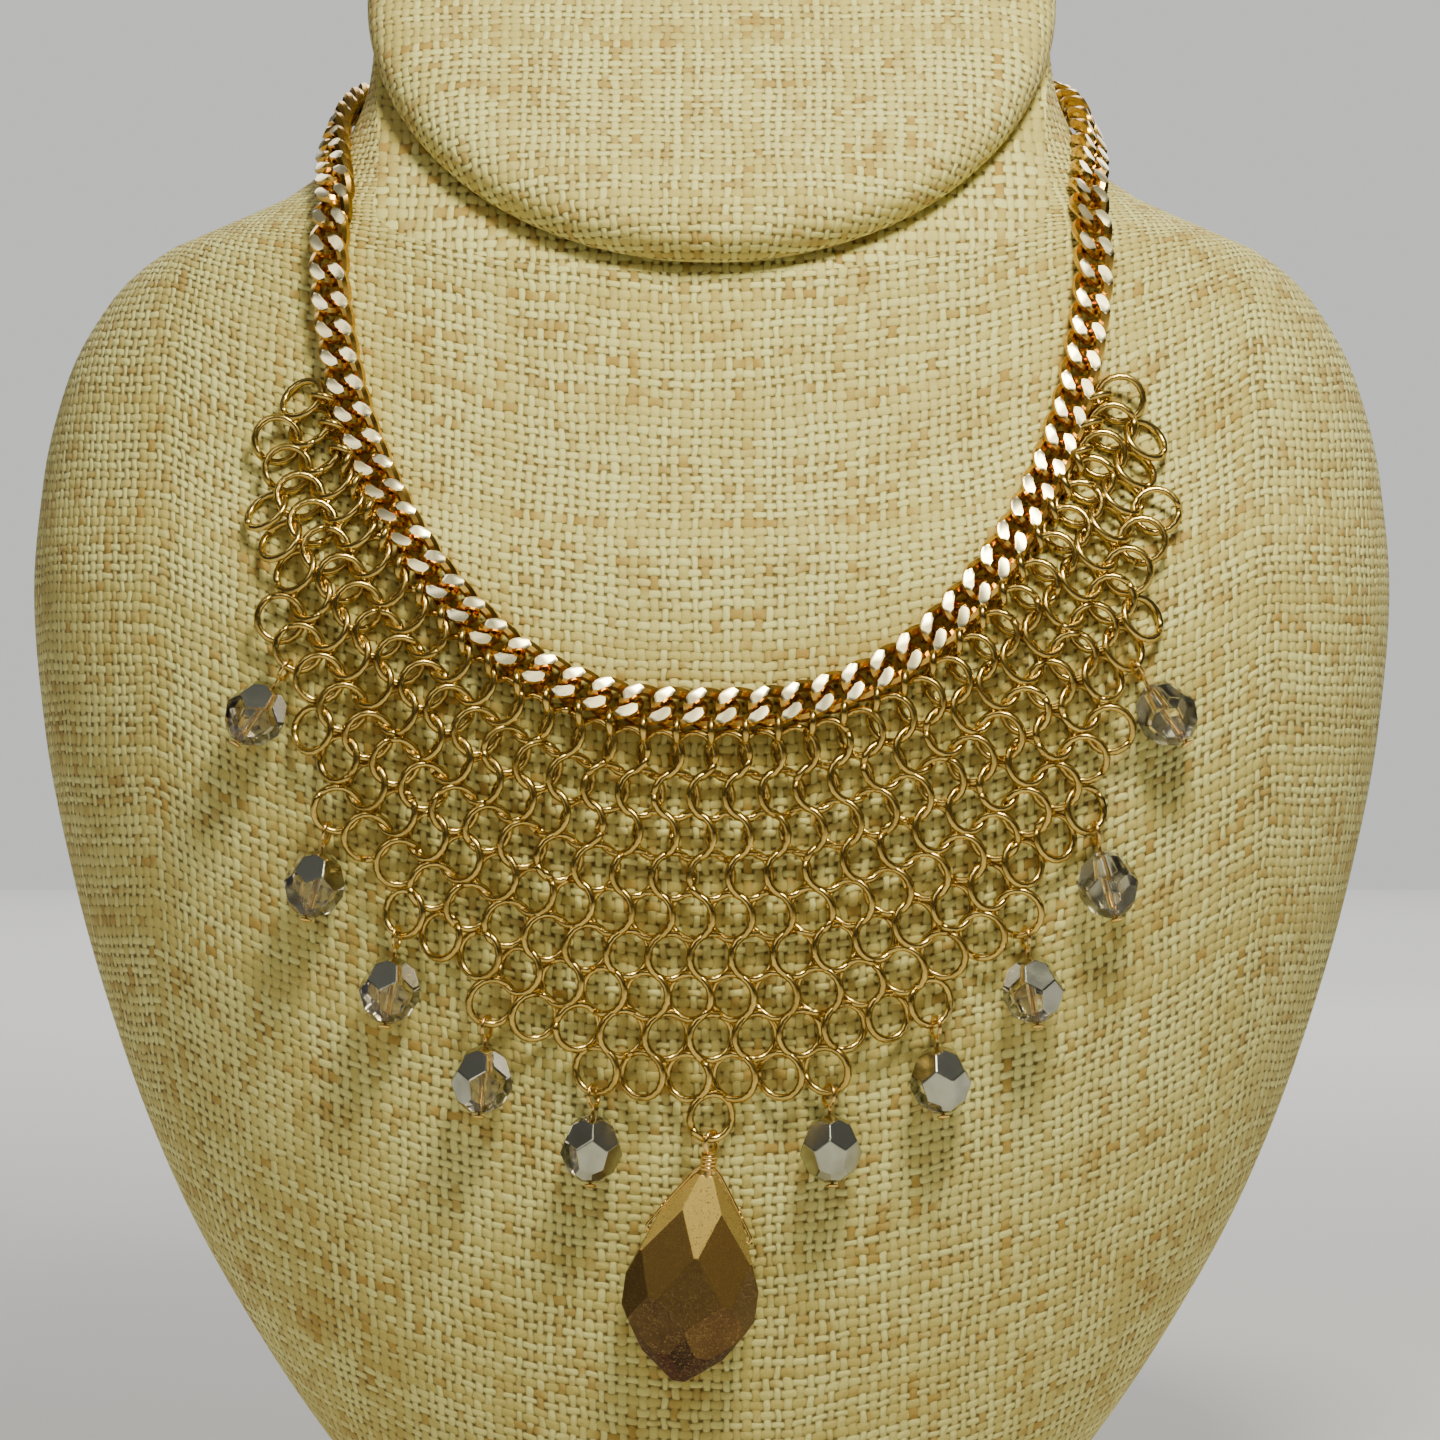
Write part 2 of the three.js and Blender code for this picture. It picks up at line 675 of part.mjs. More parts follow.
// Assembly
const group = new THREE.Group();

function place(name, geometry, material, frame) {
  const mesh = new THREE.Mesh(geometry, material);
  mesh.name = name;
  if (frame) {
    frame.decompose(mesh.position, mesh.quaternion, mesh.scale);
  }
  group.add(mesh);
}

place('bust_body', bustBody(), cloth);
place('neck_cap', neckCap(), cloth);
place('curb_chain', curbChain(), gold);
place('clasp', clasp(), gold);
place('mail_bib', mailBib(), gold);

const pin = pinOnEye();
const bead = facetedBead();
const beadPlaces = [
  ...beadRows.map((row) => ({ row, side: -1 })),
  ...beadRows.toReversed().map((row) => ({ row, side: 1 })),
];
beadPlaces.forEach(({ row, side }, i) => {
  const frame = beadFrame(row, side);
  place(`bead_pin_${i + 1}`, pin, gold, frame);
  place(`glass_bead_${i + 1}`, bead, glass, frame);
});

place('drop_wire', stoneWire(), gold, stoneFrame());
place('drop_stone', dropStone(), bronze, stoneFrame());

export default group;
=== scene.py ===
"""Bib necklace on a padded neck bust: woven cloth, curb links, linked rings, glass beads and a drop.

Metres, +Z up. The front faces -Y and the origin is the middle of the flat base. Each class builds one
sub-assembly on the bust's surface, and each finish class makes the material that it wears.
"""

import logging
import math
import random
from collections.abc import Callable, Iterable, Sequence
from dataclasses import dataclass, field
from enum import Enum
from typing import NamedTuple

import bpy
from mathutils import Matrix, Vector


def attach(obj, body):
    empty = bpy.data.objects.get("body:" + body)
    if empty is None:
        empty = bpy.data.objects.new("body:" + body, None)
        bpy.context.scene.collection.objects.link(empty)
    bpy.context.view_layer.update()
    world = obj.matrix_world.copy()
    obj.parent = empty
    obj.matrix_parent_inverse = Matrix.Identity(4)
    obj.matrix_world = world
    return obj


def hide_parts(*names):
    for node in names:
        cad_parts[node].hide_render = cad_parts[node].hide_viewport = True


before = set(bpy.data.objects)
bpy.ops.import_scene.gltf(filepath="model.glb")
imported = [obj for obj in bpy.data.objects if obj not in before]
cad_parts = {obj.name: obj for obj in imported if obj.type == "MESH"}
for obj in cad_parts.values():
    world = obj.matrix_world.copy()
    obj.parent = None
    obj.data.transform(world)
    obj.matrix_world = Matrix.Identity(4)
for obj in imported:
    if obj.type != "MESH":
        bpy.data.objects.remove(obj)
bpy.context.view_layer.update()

log = logging.getLogger("bib_necklace")

MM = 0.001
WELD = 1e-7
CUT_WELD = 1e-8
LEAST_EDGE = 3.0
FLAT_SHADED = 2.0
FULL_TURN = 2 * math.pi

Colour = tuple[float, float, float]


class Slot(Enum):
    """Material slots of the record."""

    CLOTH = "burlap"
    CHAIN = "chain_gold"
    RING = "ring_gold"
    GLASS = "bead_glass"
    STONE = "bronze_stone"


class Side(Enum):
    """Sides of the necklace in the front view."""

    LEFT = -1
    RIGHT = 1


class SectionShare(NamedTuple):
    """Bust section as shares: its height, and its reach to the side, front and back."""

    height: float
    width: float
    front: float
    back: float


class Section(NamedTuple):
    """Bust section in metres, with the squareness of its outline."""

    height: float
    width: float
    front: float
    back: float
    squareness: float


class ProfileRow(NamedTuple):
    """Row of a profile: its place along the piece and its reach out, as shares."""

    along: float
    out: float


class FrontPlace(NamedTuple):
    """Place in the front view, in millimetres."""

    x: float
    z: float


class NeckPlace(NamedTuple):
    """Place round the neck: degrees from the right side towards the back, and height in millimetres."""

    turn: float
    z: float


class Lamp(NamedTuple):
    """Soft area light: where it stands, what it points at, its side, power in watts and colour."""

    name: str
    place: tuple[float, float, float]
    aim: tuple[float, float, float]
    size: float
    power: float
    colour: Colour


class BeadPlace(NamedTuple):
    """Ring that carries a bead, the bead's lean outwards and the turn of its eye, in degrees."""

    column: float
    row: int
    lean: float
    turn: float


class FacetRow(NamedTuple):
    """Row of facets: its slope in degrees or share of the length, and its turn in facets."""

    place: float
    turn: float


def mix(start: float, end: float, share: float) -> float:
    """Value between a start and an end."""
    return start + (end - start) * share


def smooth_column(at: Sequence[float], value: Sequence[float]) -> Callable[[float], float]:
    """Smooth curve through the rows of a table, with no overshoot between them.

    Args:
        at: Where each row lies, rising.
        value: The value of each row.

    Returns:
        A function from a place to its value.
    """
    last = len(at) - 1
    rise = [(value[i + 1] - value[i]) / (at[i + 1] - at[i]) for i in range(last)]
    slope = [rise[0]]
    for i in range(1, last):
        product = rise[i - 1] * rise[i]
        slope.append(2 * product / (rise[i - 1] + rise[i]) if product > 0 else 0.0)
    slope.append(rise[-1])

    def curve(where: float) -> float:
        """Smooth value between the rows.

        Args:
            where: Place on the table.

        Returns:
            The value at that place.
        """
        held = min(max(where, at[0]), at[last])
        i = 0
        while i < last - 1 and at[i + 1] <= held:
            i += 1
        span = at[i + 1] - at[i]
        t = (held - at[i]) / span
        start = value[i] * (1 + 2 * t) * (1 - t) ** 2 + slope[i] * span * t * (1 - t) ** 2
        end = value[i + 1] * t * t * (3 - 2 * t) - slope[i + 1] * span * t * t * (1 - t)
        return start + end

    return curve


def framed(across: Vector, up: Vector, out: Vector, place: Vector) -> Matrix:
    """Matrix that stands on three directions.

    Args:
        across: Direction of x.
        up: Direction of y.
        out: Direction of z.
        place: Place of the origin.

    Returns:
        The matrix.
    """
    basis = Matrix((across, up, out)).transposed().to_4x4()
    basis.translation = place
    return basis


class Route:
    """Smooth way through points, measured along its length."""

    def __init__(self, points: Sequence[Vector], closed: bool, fineness: int = 24) -> None:
        """Samples a centripetal curve through the points.

        Args:
            points: The points that the way goes through.
            closed: Whether the way returns to its start.
            fineness: Samples between two points.
        """
        self.closed = closed
        self.samples = self._sampled(list(points), closed, fineness)
        self.marks = [0.0]
        for start, end in zip(self.samples, self.samples[1:]):
            self.marks.append(self.marks[-1] + (end - start).length)
        self.length = self.marks[-1]

    @staticmethod
    def _sampled(points: list[Vector], closed: bool, fineness: int) -> list[Vector]:
        """Lays points close together on the curve.

        Args:
            points: The points that the way goes through.
            closed: Whether the way returns to its start.
            fineness: Samples between two points.

        Returns:
            The samples, with the last point at the end.
        """
        count = len(points)
        spans = count if closed else count - 1

        def corner(i: int) -> Vector:
            """Point of the route, carried on past its ends where it is open.

            Args:
                i: Number of the point, which may lie outside the list.

            Returns:
                The point.
            """
            if closed:
                return points[i % count]
            if i < 0:
                return 2 * points[0] - points[1]
            if i >= count:
                return 2 * points[-1] - points[-2]
            return points[i]

        samples = []
        for i in range(spans):
            p0, p1, p2, p3 = (corner(i + k) for k in (-1, 0, 1, 2))
            d0, d1, d2 = (math.sqrt((b - a).length) for a, b in ((p0, p1), (p1, p2), (p2, p3)))
            start = ((p1 - p0) / d0 - (p2 - p0) / (d0 + d1) + (p2 - p1) / d1) * d1
            end = ((p2 - p1) / d1 - (p3 - p1) / (d1 + d2) + (p3 - p2) / d2) * d1
            for k in range(fineness):
                t = k / fineness
                square = (-3 * p1 + 3 * p2 - 2 * start - end) * t * t
                cube = (2 * p1 - 2 * p2 + start + end) * t**3
                samples.append(p1 + start * t + square + cube)
        samples.append(points[0].copy() if closed else points[-1].copy())
        return samples

    def at(self, way: float) -> Vector:
        """Point on the way.

        Args:
            way: Length along the way.

        Returns:
            The point, held at the ends of an open way.
        """
        held = way % self.length if self.closed else min(max(way, 0.0), self.length)
        low, high = 0, len(self.marks) - 1
        while high - low > 1:
            middle = (low + high) // 2
            if self.marks[middle] <= held:
                low = middle
            else:
                high = middle
        span = self.marks[high] - self.marks[low]
        share = (held - self.marks[low]) / span if span else 0.0
        return self.samples[low].lerp(self.samples[high], share)

    def tangent(self, way: float, reach: float = 0.2 * MM) -> Vector:
        """Direction of the way at a length along it."""
        return (self.at(way + reach) - self.at(way - reach)).normalized()


class Shaper:
    """Modelling steps that all the pieces share."""

    @staticmethod
    def deselect() -> None:
        """Leaves edit mode and clears the selection."""
        if bpy.context.mode != "OBJECT":
            bpy.ops.object.mode_set(mode="OBJECT")
        bpy.ops.object.select_all(action="DESELECT")

    @staticmethod
    def take(pieces: Iterable[bpy.types.Object]) -> None:
        """Selects pieces, with the first one active.

        Args:
            pieces: The pieces that the next step acts on.
        """
        Shaper.deselect()
        chosen = list(pieces)
        for piece in chosen:
            piece.select_set(True)
        bpy.context.view_layer.objects.active = chosen[0]

    @staticmethod
    def wrapped(
        name: str,
        steps: int,
        sides: int,
        place: Callable[[float, float], Vector],
        cloth: Callable[[int, int], tuple[float, float]] | None = None,
    ) -> bpy.types.Object:
        """Wraps a grid into a tube, ring or shell, welds its seams and closes its ends.

        Args:
            name: Name of the new piece.
            steps: Faces along the piece.
            sides: Faces round the piece.
            place: Point for a share along and a share round the piece.
            cloth: Place on the cloth for a step and a side, where the piece wears woven cloth.

        Returns:
            The new piece, closed and with its faces pointing out.
        """
        Shaper.deselect()
        bpy.ops.mesh.primitive_grid_add(
            x_subdivisions=steps, y_subdivisions=sides, size=2, calc_uvs=True
        )
        piece = bpy.context.active_object
        piece.name = name
        for vertex in piece.data.vertices:
            vertex.co = place((vertex.co.x + 1) / 2, (vertex.co.y + 1) / 2)
        if cloth:
            for corner in piece.data.uv_layers.active.data:
                corner.uv = cloth(round(corner.uv.x * steps), round(corner.uv.y * sides))
        bpy.ops.object.mode_set(mode="EDIT")
        bpy.ops.mesh.select_all(action="SELECT")
        bpy.ops.mesh.remove_doubles(threshold=WELD)
        bpy.ops.mesh.fill_holes(sides=0)
        bpy.ops.mesh.select_all(action="SELECT")
        bpy.ops.mesh.normals_make_consistent(inside=False)
        bpy.ops.object.mode_set(mode="OBJECT")
        return piece

    @staticmethod
    def wire(name: str, route: Route, radius: float, steps: int, sides: int) -> bpy.types.Object:
        """Round wire along a route.

        Args:
            name: Name of the new piece.
            route: Way of the wire's middle.
            radius: Radius of the wire.
            steps: Faces along the wire.
            sides: Faces round the wire.

        Returns:
            The new piece, with closed ends.
        """
        rims = []
        across = route.tangent(0).orthogonal().normalized()
        for step in range(steps + 1):
            way = route.length * step / steps
            along = route.tangent(way)
            across = (across - along * across.dot(along)).normalized()
            rims.append((route.at(way), across.copy(), along.cross(across)))

        def place(share: float, turn: float) -> Vector:
            """Point on the wire's skin.

            Args:
                share: Share of the way along the wire.
                turn: Share of the way round it.

            Returns:
                The point.
            """
            centre, side, out = rims[round(share * steps)]
            angle = FULL_TURN * turn
            return centre + (side * math.cos(angle) + out * math.sin(angle)) * radius

        return Shaper.wrapped(name, steps, sides, place)

    @staticmethod
    def sliced(piece: bpy.types.Object, cuts: Iterable[tuple[Vector, Vector]]) -> None:
        """Cuts a closed piece flat along planes.

        Args:
            piece: The piece that is cut.
            cuts: A point on each plane and its outward normal.
        """
        Shaper.take([piece])
        bpy.ops.object.mode_set(mode="EDIT")
        for point, outward in cuts:
            bpy.ops.mesh.select_all(action="SELECT")
            bpy.ops.mesh.bisect(
                plane_co=point, plane_no=outward, use_fill=True, clear_outer=True, threshold=CUT_WELD
            )
        bpy.ops.mesh.select_all(action="SELECT")
        bpy.ops.mesh.normals_make_consistent(inside=False)
        bpy.ops.object.mode_set(mode="OBJECT")

    @staticmethod
    def copies(
        name: str, pattern: bpy.types.Object, places: Sequence[Matrix], seed: int
    ) -> bpy.types.Object:
        """Joined copies of a pattern, each with its own mesh and its own tone.

        Args:
            name: Name of the joined piece.
            pattern: The piece that is copied and then removed.
            places: Where each copy goes.
            seed: Start of the random tones.

        Returns:
            One piece that holds all the copies.
        """
        draw = random.Random(seed)
        made = []
        for place in places:
            copy = pattern.copy()
            copy.data = pattern.data.copy()
            copy.data.transform(place)
            tone = copy.data.attributes.new("tone", "FLOAT", "POINT")
            tone.data.foreach_set("value", [draw.random()] * len(copy.data.vertices))
            bpy.context.scene.collection.objects.link(copy)
            made.append(copy)
        bpy.data.objects.remove(pattern)
        return Shaper.joined(name, made)

    @staticmethod
    def joined(name: str, pieces: Sequence[bpy.types.Object]) -> bpy.types.Object:
        """Joins pieces into one.

        Args:
            name: Name of the joined piece.
            pieces: The pieces, the first of which takes up the others.

        Returns:
            The joined piece.
        """
        Shaper.take(pieces)
        if len(pieces) > 1:
            bpy.ops.object.join()
        piece = bpy.context.view_layer.objects.active
        piece.name = name
        piece.data.name = name
        return piece

    @staticmethod
    def bevelled(piece: bpy.types.Object, width: float, segments: int) -> None:
        """Rounds the edges between flat facets.

        Args:
            piece: The cut piece.
            width: Width of the rounding.
            segments: Faces across the rounding.
        """
        Shaper.take([piece])
        bevel = piece.modifiers.new("edge", "BEVEL")
        bevel.width = width
        bevel.segments = segments
        bevel.limit_method = "ANGLE"
        bevel.angle_limit = math.radians(LEAST_EDGE)
        bpy.ops.object.modifier_apply(modifier=bevel.name)

    @staticmethod
    def drilled(
        piece: bpy.types.Object, radius: float, length: float, middle: Vector, turn: Vector
    ) -> None:
        """Bores a round hole through a piece.

        Args:
            piece: The piece that is bored.
            radius: Radius of the bore.
            length: Length of the drill.
            middle: Middle of the drill.
            turn: Turn of the drill, which otherwise lies along z.
        """
        bpy.ops.mesh.primitive_cylinder_add(
            vertices=16, radius=radius, depth=length, location=middle, rotation=turn
        )
        drill = bpy.context.active_object
        Shaper.take([piece])
        bore = piece.modifiers.new("bore", "BOOLEAN")
        bore.object = drill
        bore.operation = "DIFFERENCE"
        bore.solver = "EXACT"
        bpy.ops.object.modifier_apply(modifier=bore.name)
        bpy.data.objects.remove(drill)

    @staticmethod
    def smooth(piece: bpy.types.Object, angle: float = 180.0) -> None:
        """Shades a piece smooth up to an angle in degrees."""
        Shaper.take([piece])
        bpy.ops.object.shade_smooth_by_angle(angle=math.radians(angle))

    @staticmethod
    def moved(piece: bpy.types.Object, place: Matrix) -> None:
        """Moves a piece's mesh, so that its object stays at the origin."""
        piece.data.transform(place)
        piece.data.update()


def hand_over(
    piece: bpy.types.Object, slot: Slot, finish: bpy.types.Material, nodes: Sequence[str]
) -> None:
    """Dresses a piece and lets it stand for its solids.

    Args:
        piece: The finished piece.
        slot: The record's material slot.
        finish: The piece's main material.
        nodes: The solids that the piece stands for.
    """
    if not piece.data.materials:
        piece.data.materials.append(finish)
    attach(piece, "root")
    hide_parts(*nodes)
    triangles = sum(len(face.vertices) - 2 for face in piece.data.polygons)
    log.info("%s: %d triangles, %s", piece.name, triangles, slot.value)


class NodeDesk:
    """Adds and links the nodes of one tree."""

    def __init__(self, tree: bpy.types.NodeTree) -> None:
        """Starts on a node tree."""
        self.tree = tree

    def add(self, kind: str, **settings: object) -> bpy.types.Node:
        """Adds a node.

        Args:
            kind: Type of the node.
            settings: Properties of the node.

        Returns:
            The node.
        """
        node = self.tree.nodes.new(kind)
        for name, value in settings.items():
            setattr(node, name, value)
        return node

    def feed(self, socket: bpy.types.NodeSocket, value: object) -> None:
        """Links a socket into another one, or sets its value.

        Args:
            socket: The input that is fed.
            value: An output socket, or a plain value.
        """
        if isinstance(value, bpy.types.NodeSocket):
            self.tree.links.new(value, socket)
        else:
            socket.default_value = value

    def math(self, operation: str, *values: object) -> bpy.types.NodeSocket:
        """Works on numbers.

        Args:
            operation: What the node does.
            values: Numbers or sockets, in the order of its inputs.

        Returns:
            The result.
        """
        node = self.add("ShaderNodeMath", operation=operation)
        for socket, value in zip(node.inputs, values):
            self.feed(socket, value)
        return node.outputs[0]

    def vector(self, operation: str, *values: object) -> bpy.types.NodeSocket:
        """Works on vectors.

        Args:
            operation: What the node does.
            values: Vectors or sockets, in the order of its inputs.

        Returns:
            The result.
        """
        node = self.add("ShaderNodeVectorMath", operation=operation)
        for socket, value in zip(node.inputs, values):
            self.feed(socket, value)
        return node.outputs[0]

    def scaled(self, vector: bpy.types.NodeSocket, factor: object) -> bpy.types.NodeSocket:
        """Makes a vector longer or shorter.

        Args:
            vector: The vector.
            factor: What it is multiplied by.

        Returns:
            The scaled vector.
        """
        node = self.add("ShaderNodeVectorMath", operation="SCALE")
        self.feed(node.inputs[0], vector)
        self.feed(node.inputs["Scale"], factor)
        return node.outputs[0]

    def joined(self, x: object, y: object, z: object = 0.0) -> bpy.types.NodeSocket:
        """Makes a vector of three values.

        Args:
            x: First value.
            y: Second value.
            z: Third value.

        Returns:
            The vector.
        """
        node = self.add("ShaderNodeCombineXYZ")
        for socket, value in zip(node.inputs, (x, y, z)):
            self.feed(socket, value)
        return node.outputs[0]

    def noise(self, vector: object, scale: float, detail: float = 2.0) -> bpy.types.Node:
        """Adds soft noise.

        Args:
            vector: Where the noise is read.
            scale: Fineness of the noise.
            detail: Finer layers on top of it.

        Returns:
            The noise node.
        """
        node = self.add("ShaderNodeTexNoise")
        self.feed(node.inputs["Vector"], vector)
        node.inputs["Scale"].default_value = scale
        node.inputs["Detail"].default_value = detail
        return node

    def ranged(
        self, value: object, low: float, high: float, first: float, last: float
    ) -> bpy.types.NodeSocket:
        """Carries a value smoothly from one range to another.

        Args:
            value: The value.
            low: Start of its range.
            high: End of its range.
            first: What the start becomes.
            last: What the end becomes.

        Returns:
            The carried value.
        """
        node = self.add("ShaderNodeMapRange", interpolation_type="SMOOTHSTEP")
        self.feed(node.inputs["Value"], value)
        for name, number in (("From Min", low), ("From Max", high), ("To Min", first), ("To Max", last)):
            node.inputs[name].default_value = number
        return node.outputs["Result"]

    def blend(
        self, factor: object, first: object, second: object, kind: str = "MIX"
    ) -> bpy.types.NodeSocket:
        """Mixes two colours.

        Args:
            factor: How much of the second one there is.
            first: First colour.
            second: Second colour.
            kind: Way of mixing.

        Returns:
            The mixed colour.
        """
        node = self.add("ShaderNodeMix", data_type="RGBA", blend_type=kind)
        for name, value in (("Factor_Float", factor), ("A_Color", first), ("B_Color", second)):
            socket = next(s for s in node.inputs if s.identifier == name)
            opaque = isinstance(value, tuple) and len(value) == 3
            self.feed(socket, (*value, 1.0) if opaque else value)
        return next(s for s in node.outputs if s.identifier == "Result_Color")


class ShaderGroup:
    """Node group that several materials share."""

    name = "group"
    inputs: tuple[tuple[str, str], ...] = ()
    outputs: tuple[tuple[str, str], ...] = ()

    def __init__(self) -> None:
        """Builds the group once."""
        self.tree = bpy.data.node_groups.new(self.name, "ShaderNodeTree")
        for label, kind in self.inputs:
            self.tree.interface.new_socket(name=label, in_out="INPUT", socket_type=kind)
        for label, kind in self.outputs:
            self.tree.interface.new_socket(name=label, in_out="OUTPUT", socket_type=kind)
        self.desk = NodeDesk(self.tree)
        self.given = self.desk.add("NodeGroupInput").outputs
        self.result = self.desk.add("NodeGroupOutput").inputs
        self.build()

    def build(self) -> None:
        """Fills the group with its nodes."""

    def placed(self, desk: NodeDesk, **values: object) -> bpy.types.NodeOutputs:
        """Places the group in a material.

        Args:
            desk: The material's nodes.
            values: Values or sockets for the group's inputs, with _ for spaces.

        Returns:
            The outputs of the placed group.
        """
        node = desk.add("ShaderNodeGroup", node_tree=self.tree)
        for label, value in values.items():
            desk.feed(node.inputs[label.replace("_", " ").capitalize()], value)
        return node.outputs


class WovenCloth(ShaderGroup):
    """Plain weave of uneven threads, with slubs, flecks and open gaps between the threads, the sunken
    weave darkened with painted shade.
    """

    name = "woven_cloth"
    inputs = (
        ("Place", "NodeSocketVector"),
        ("Pitch", "NodeSocketFloat"),
        ("Light thread", "NodeSocketColor"),
        ("Dark thread", "NodeSocketColor"),
        ("Fleck", "NodeSocketColor"),
        ("Gap", "NodeSocketColor"),
    )
    outputs = (("Color", "NodeSocketColor"), ("Height", "NodeSocketFloat"), ("Fibre", "NodeSocketFloat"))

    wander_fineness = 60.0
    wander_threads = 1.5
    tremble_fineness = 420.0
    tremble_threads = 0.45
    weft_half = 0.34
    warp_half = 0.31
    width_spread = 0.2
    weft_seed = 11.5
    warp_seed = 73.5
    slub_along = 0.17
    slub_across = 3.7
    warp_slub_seed = 9.0
    fibre_fineness = 5200.0
    fibre_shade = 0.55
    fibre_relief = 0.22
    patch_fineness = 95.0
    crossing_rise = 0.34

    def build(self) -> None:
        """Weaves weft and warp threads from the place on the cloth."""
        desk = self.desk
        given = self.given
        place = given["Place"]
        wander = self.shift(desk.noise(place, self.wander_fineness, 3.0), self.wander_threads)
        tremble = self.shift(desk.noise(place, self.tremble_fineness, 1.0), self.tremble_threads)
        threads = desk.scaled(place, desk.math("DIVIDE", 1.0, given["Pitch"]))
        threads = desk.vector("ADD", threads, wander)
        threads = desk.vector("ADD", threads, tremble)
        split = desk.add("ShaderNodeSeparateXYZ")
        desk.feed(split.inputs[0], threads)
        x, y = split.outputs["X"], split.outputs["Y"]
        column, row = desk.math("FLOOR", x), desk.math("FLOOR", y)
        from_warp = desk.math("SUBTRACT", desk.math("SUBTRACT", x, column), 0.5)
        from_weft = desk.math("SUBTRACT", desk.math("SUBTRACT", y, row), 0.5)
        parity = desk.math("FLOORED_MODULO", desk.math("ADD", column, row), 2.0)
        over = desk.math("MULTIPLY_ADD", parity, 2.0, -1.0)
        weft, weft_tone = self.thread(
            row, from_weft, from_warp, over, self.weft_half, self.weft_seed
        )
        under = desk.math("MULTIPLY", over, -1.0)
        warp, warp_tone = self.thread(
            column, from_warp, from_weft, under, self.warp_half, self.warp_seed
        )
        height = desk.math("MAXIMUM", weft, warp)
        weft_shows = desk.math("GREATER_THAN", weft, warp)
        weft_slub = desk.joined(
            desk.math("MULTIPLY", x, self.slub_along), desk.math("MULTIPLY", row, self.slub_across)
        )
        warp_slub = desk.joined(
            desk.math("MULTIPLY", column, self.slub_across),
            desk.math("MULTIPLY", y, self.slub_along),
            self.warp_slub_seed,
        )
        weft_fleck = desk.noise(weft_slub, 1.0)
        warp_fleck = desk.noise(warp_slub, 1.0)
        fleck = self.chosen(weft_shows, warp_fleck.outputs[0], weft_fleck.outputs[0])
        tone = self.chosen(weft_shows, warp_tone, weft_tone)
        fibre = desk.noise(place, self.fibre_fineness, 2.0).outputs[0]
        patch = desk.noise(place, self.patch_fineness, 3.0).outputs[0]
        toned = desk.ranged(tone, 0.35, 1.0, 0.0, 0.75)
        colour = desk.blend(toned, given["Light thread"], given["Dark thread"])
        colour = desk.blend(desk.ranged(patch, 0.46, 0.68, 0.0, 0.4), colour, given["Dark thread"])
        colour = desk.blend(desk.ranged(fleck, 0.52, 0.68, 0.0, 0.75), colour, given["Fleck"])
        shade = desk.math("MULTIPLY_ADD", desk.math("SUBTRACT", fibre, 0.5), self.fibre_shade, 1.0)
        colour = desk.blend(1.0, colour, desk.joined(shade, shade, shade), "MULTIPLY")
        # Painted shade in part: where the threads sink, the colour runs to the dark gap colour, which is
        # the brown between the threads deepened as shade in the hollows.
        colour = desk.blend(desk.ranged(height, 0.15, 0.7, 0.9, 0.0), colour, given["Gap"])
        desk.feed(self.result["Color"], colour)
        relief = desk.math("MULTIPLY_ADD", fibre, self.fibre_relief, height)
        desk.feed(self.result["Height"], relief)
        desk.feed(self.result["Fibre"], fibre)

    def shift(self, noise: bpy.types.Node, reach: float) -> bpy.types.NodeSocket:
        """Turns coloured noise into a shift both ways.

        Args:
            noise: The noise node.
            reach: Width of the shift, in threads.

        Returns:
            The shift.
        """
        both_ways = self.desk.vector("SUBTRACT", noise.outputs["Color"], (0.5, 0.5, 0.5))
        return self.desk.scaled(both_ways, reach)

    def thread(
        self, number: object, off: object, along: object, over: object, half: float, seed: float
    ) -> tuple[bpy.types.NodeSocket, bpy.types.NodeSocket]:
        """Height of one set of threads, and the tone of each thread.

        Args:
            number: Number of the thread.
            off: Way from the thread's middle.
            along: Way along the thread from the middle of a crossing.
            over: 1 where the thread runs over, and -1 where it runs under.
            half: Half width of the thinnest thread, in threads.
            seed: Start of the random numbers.

        Returns:
            The height and the tone.
        """
        desk = self.desk
        draw = desk.add("ShaderNodeTexWhiteNoise", noise_dimensions="1D")
        desk.feed(draw.inputs["W"], desk.math("ADD", number, seed))
        tone = draw.outputs["Value"]
        width = desk.math("MULTIPLY_ADD", tone, self.width_spread, half)
        share = desk.math("DIVIDE", off, width)
        inside = desk.math("SUBTRACT", 1.0, desk.math("MULTIPLY", share, share))
        dome = desk.math("SQRT", desk.math("MAXIMUM", inside, 0.0))
        wave = desk.math("MULTIPLY", desk.math("COSINE", desk.math("MULTIPLY", along, math.pi)), over)
        level = desk.math("MULTIPLY_ADD", wave, self.crossing_rise, 1 - self.crossing_rise)
        return desk.math("MULTIPLY", dome, level), tone

    def chosen(self, mask: object, first: object, second: object) -> bpy.types.NodeSocket:
        """Chooses between two values.

        Args:
            mask: 0 for the first value and 1 for the second.
            first: First value.
            second: Second value.

        Returns:
            The chosen value.
        """
        node = self.desk.add("ShaderNodeMix", data_type="FLOAT")
        self.desk.feed(node.inputs[0], mask)
        self.desk.feed(node.inputs[2], first)
        self.desk.feed(node.inputs[3], second)
        return node.outputs[0]


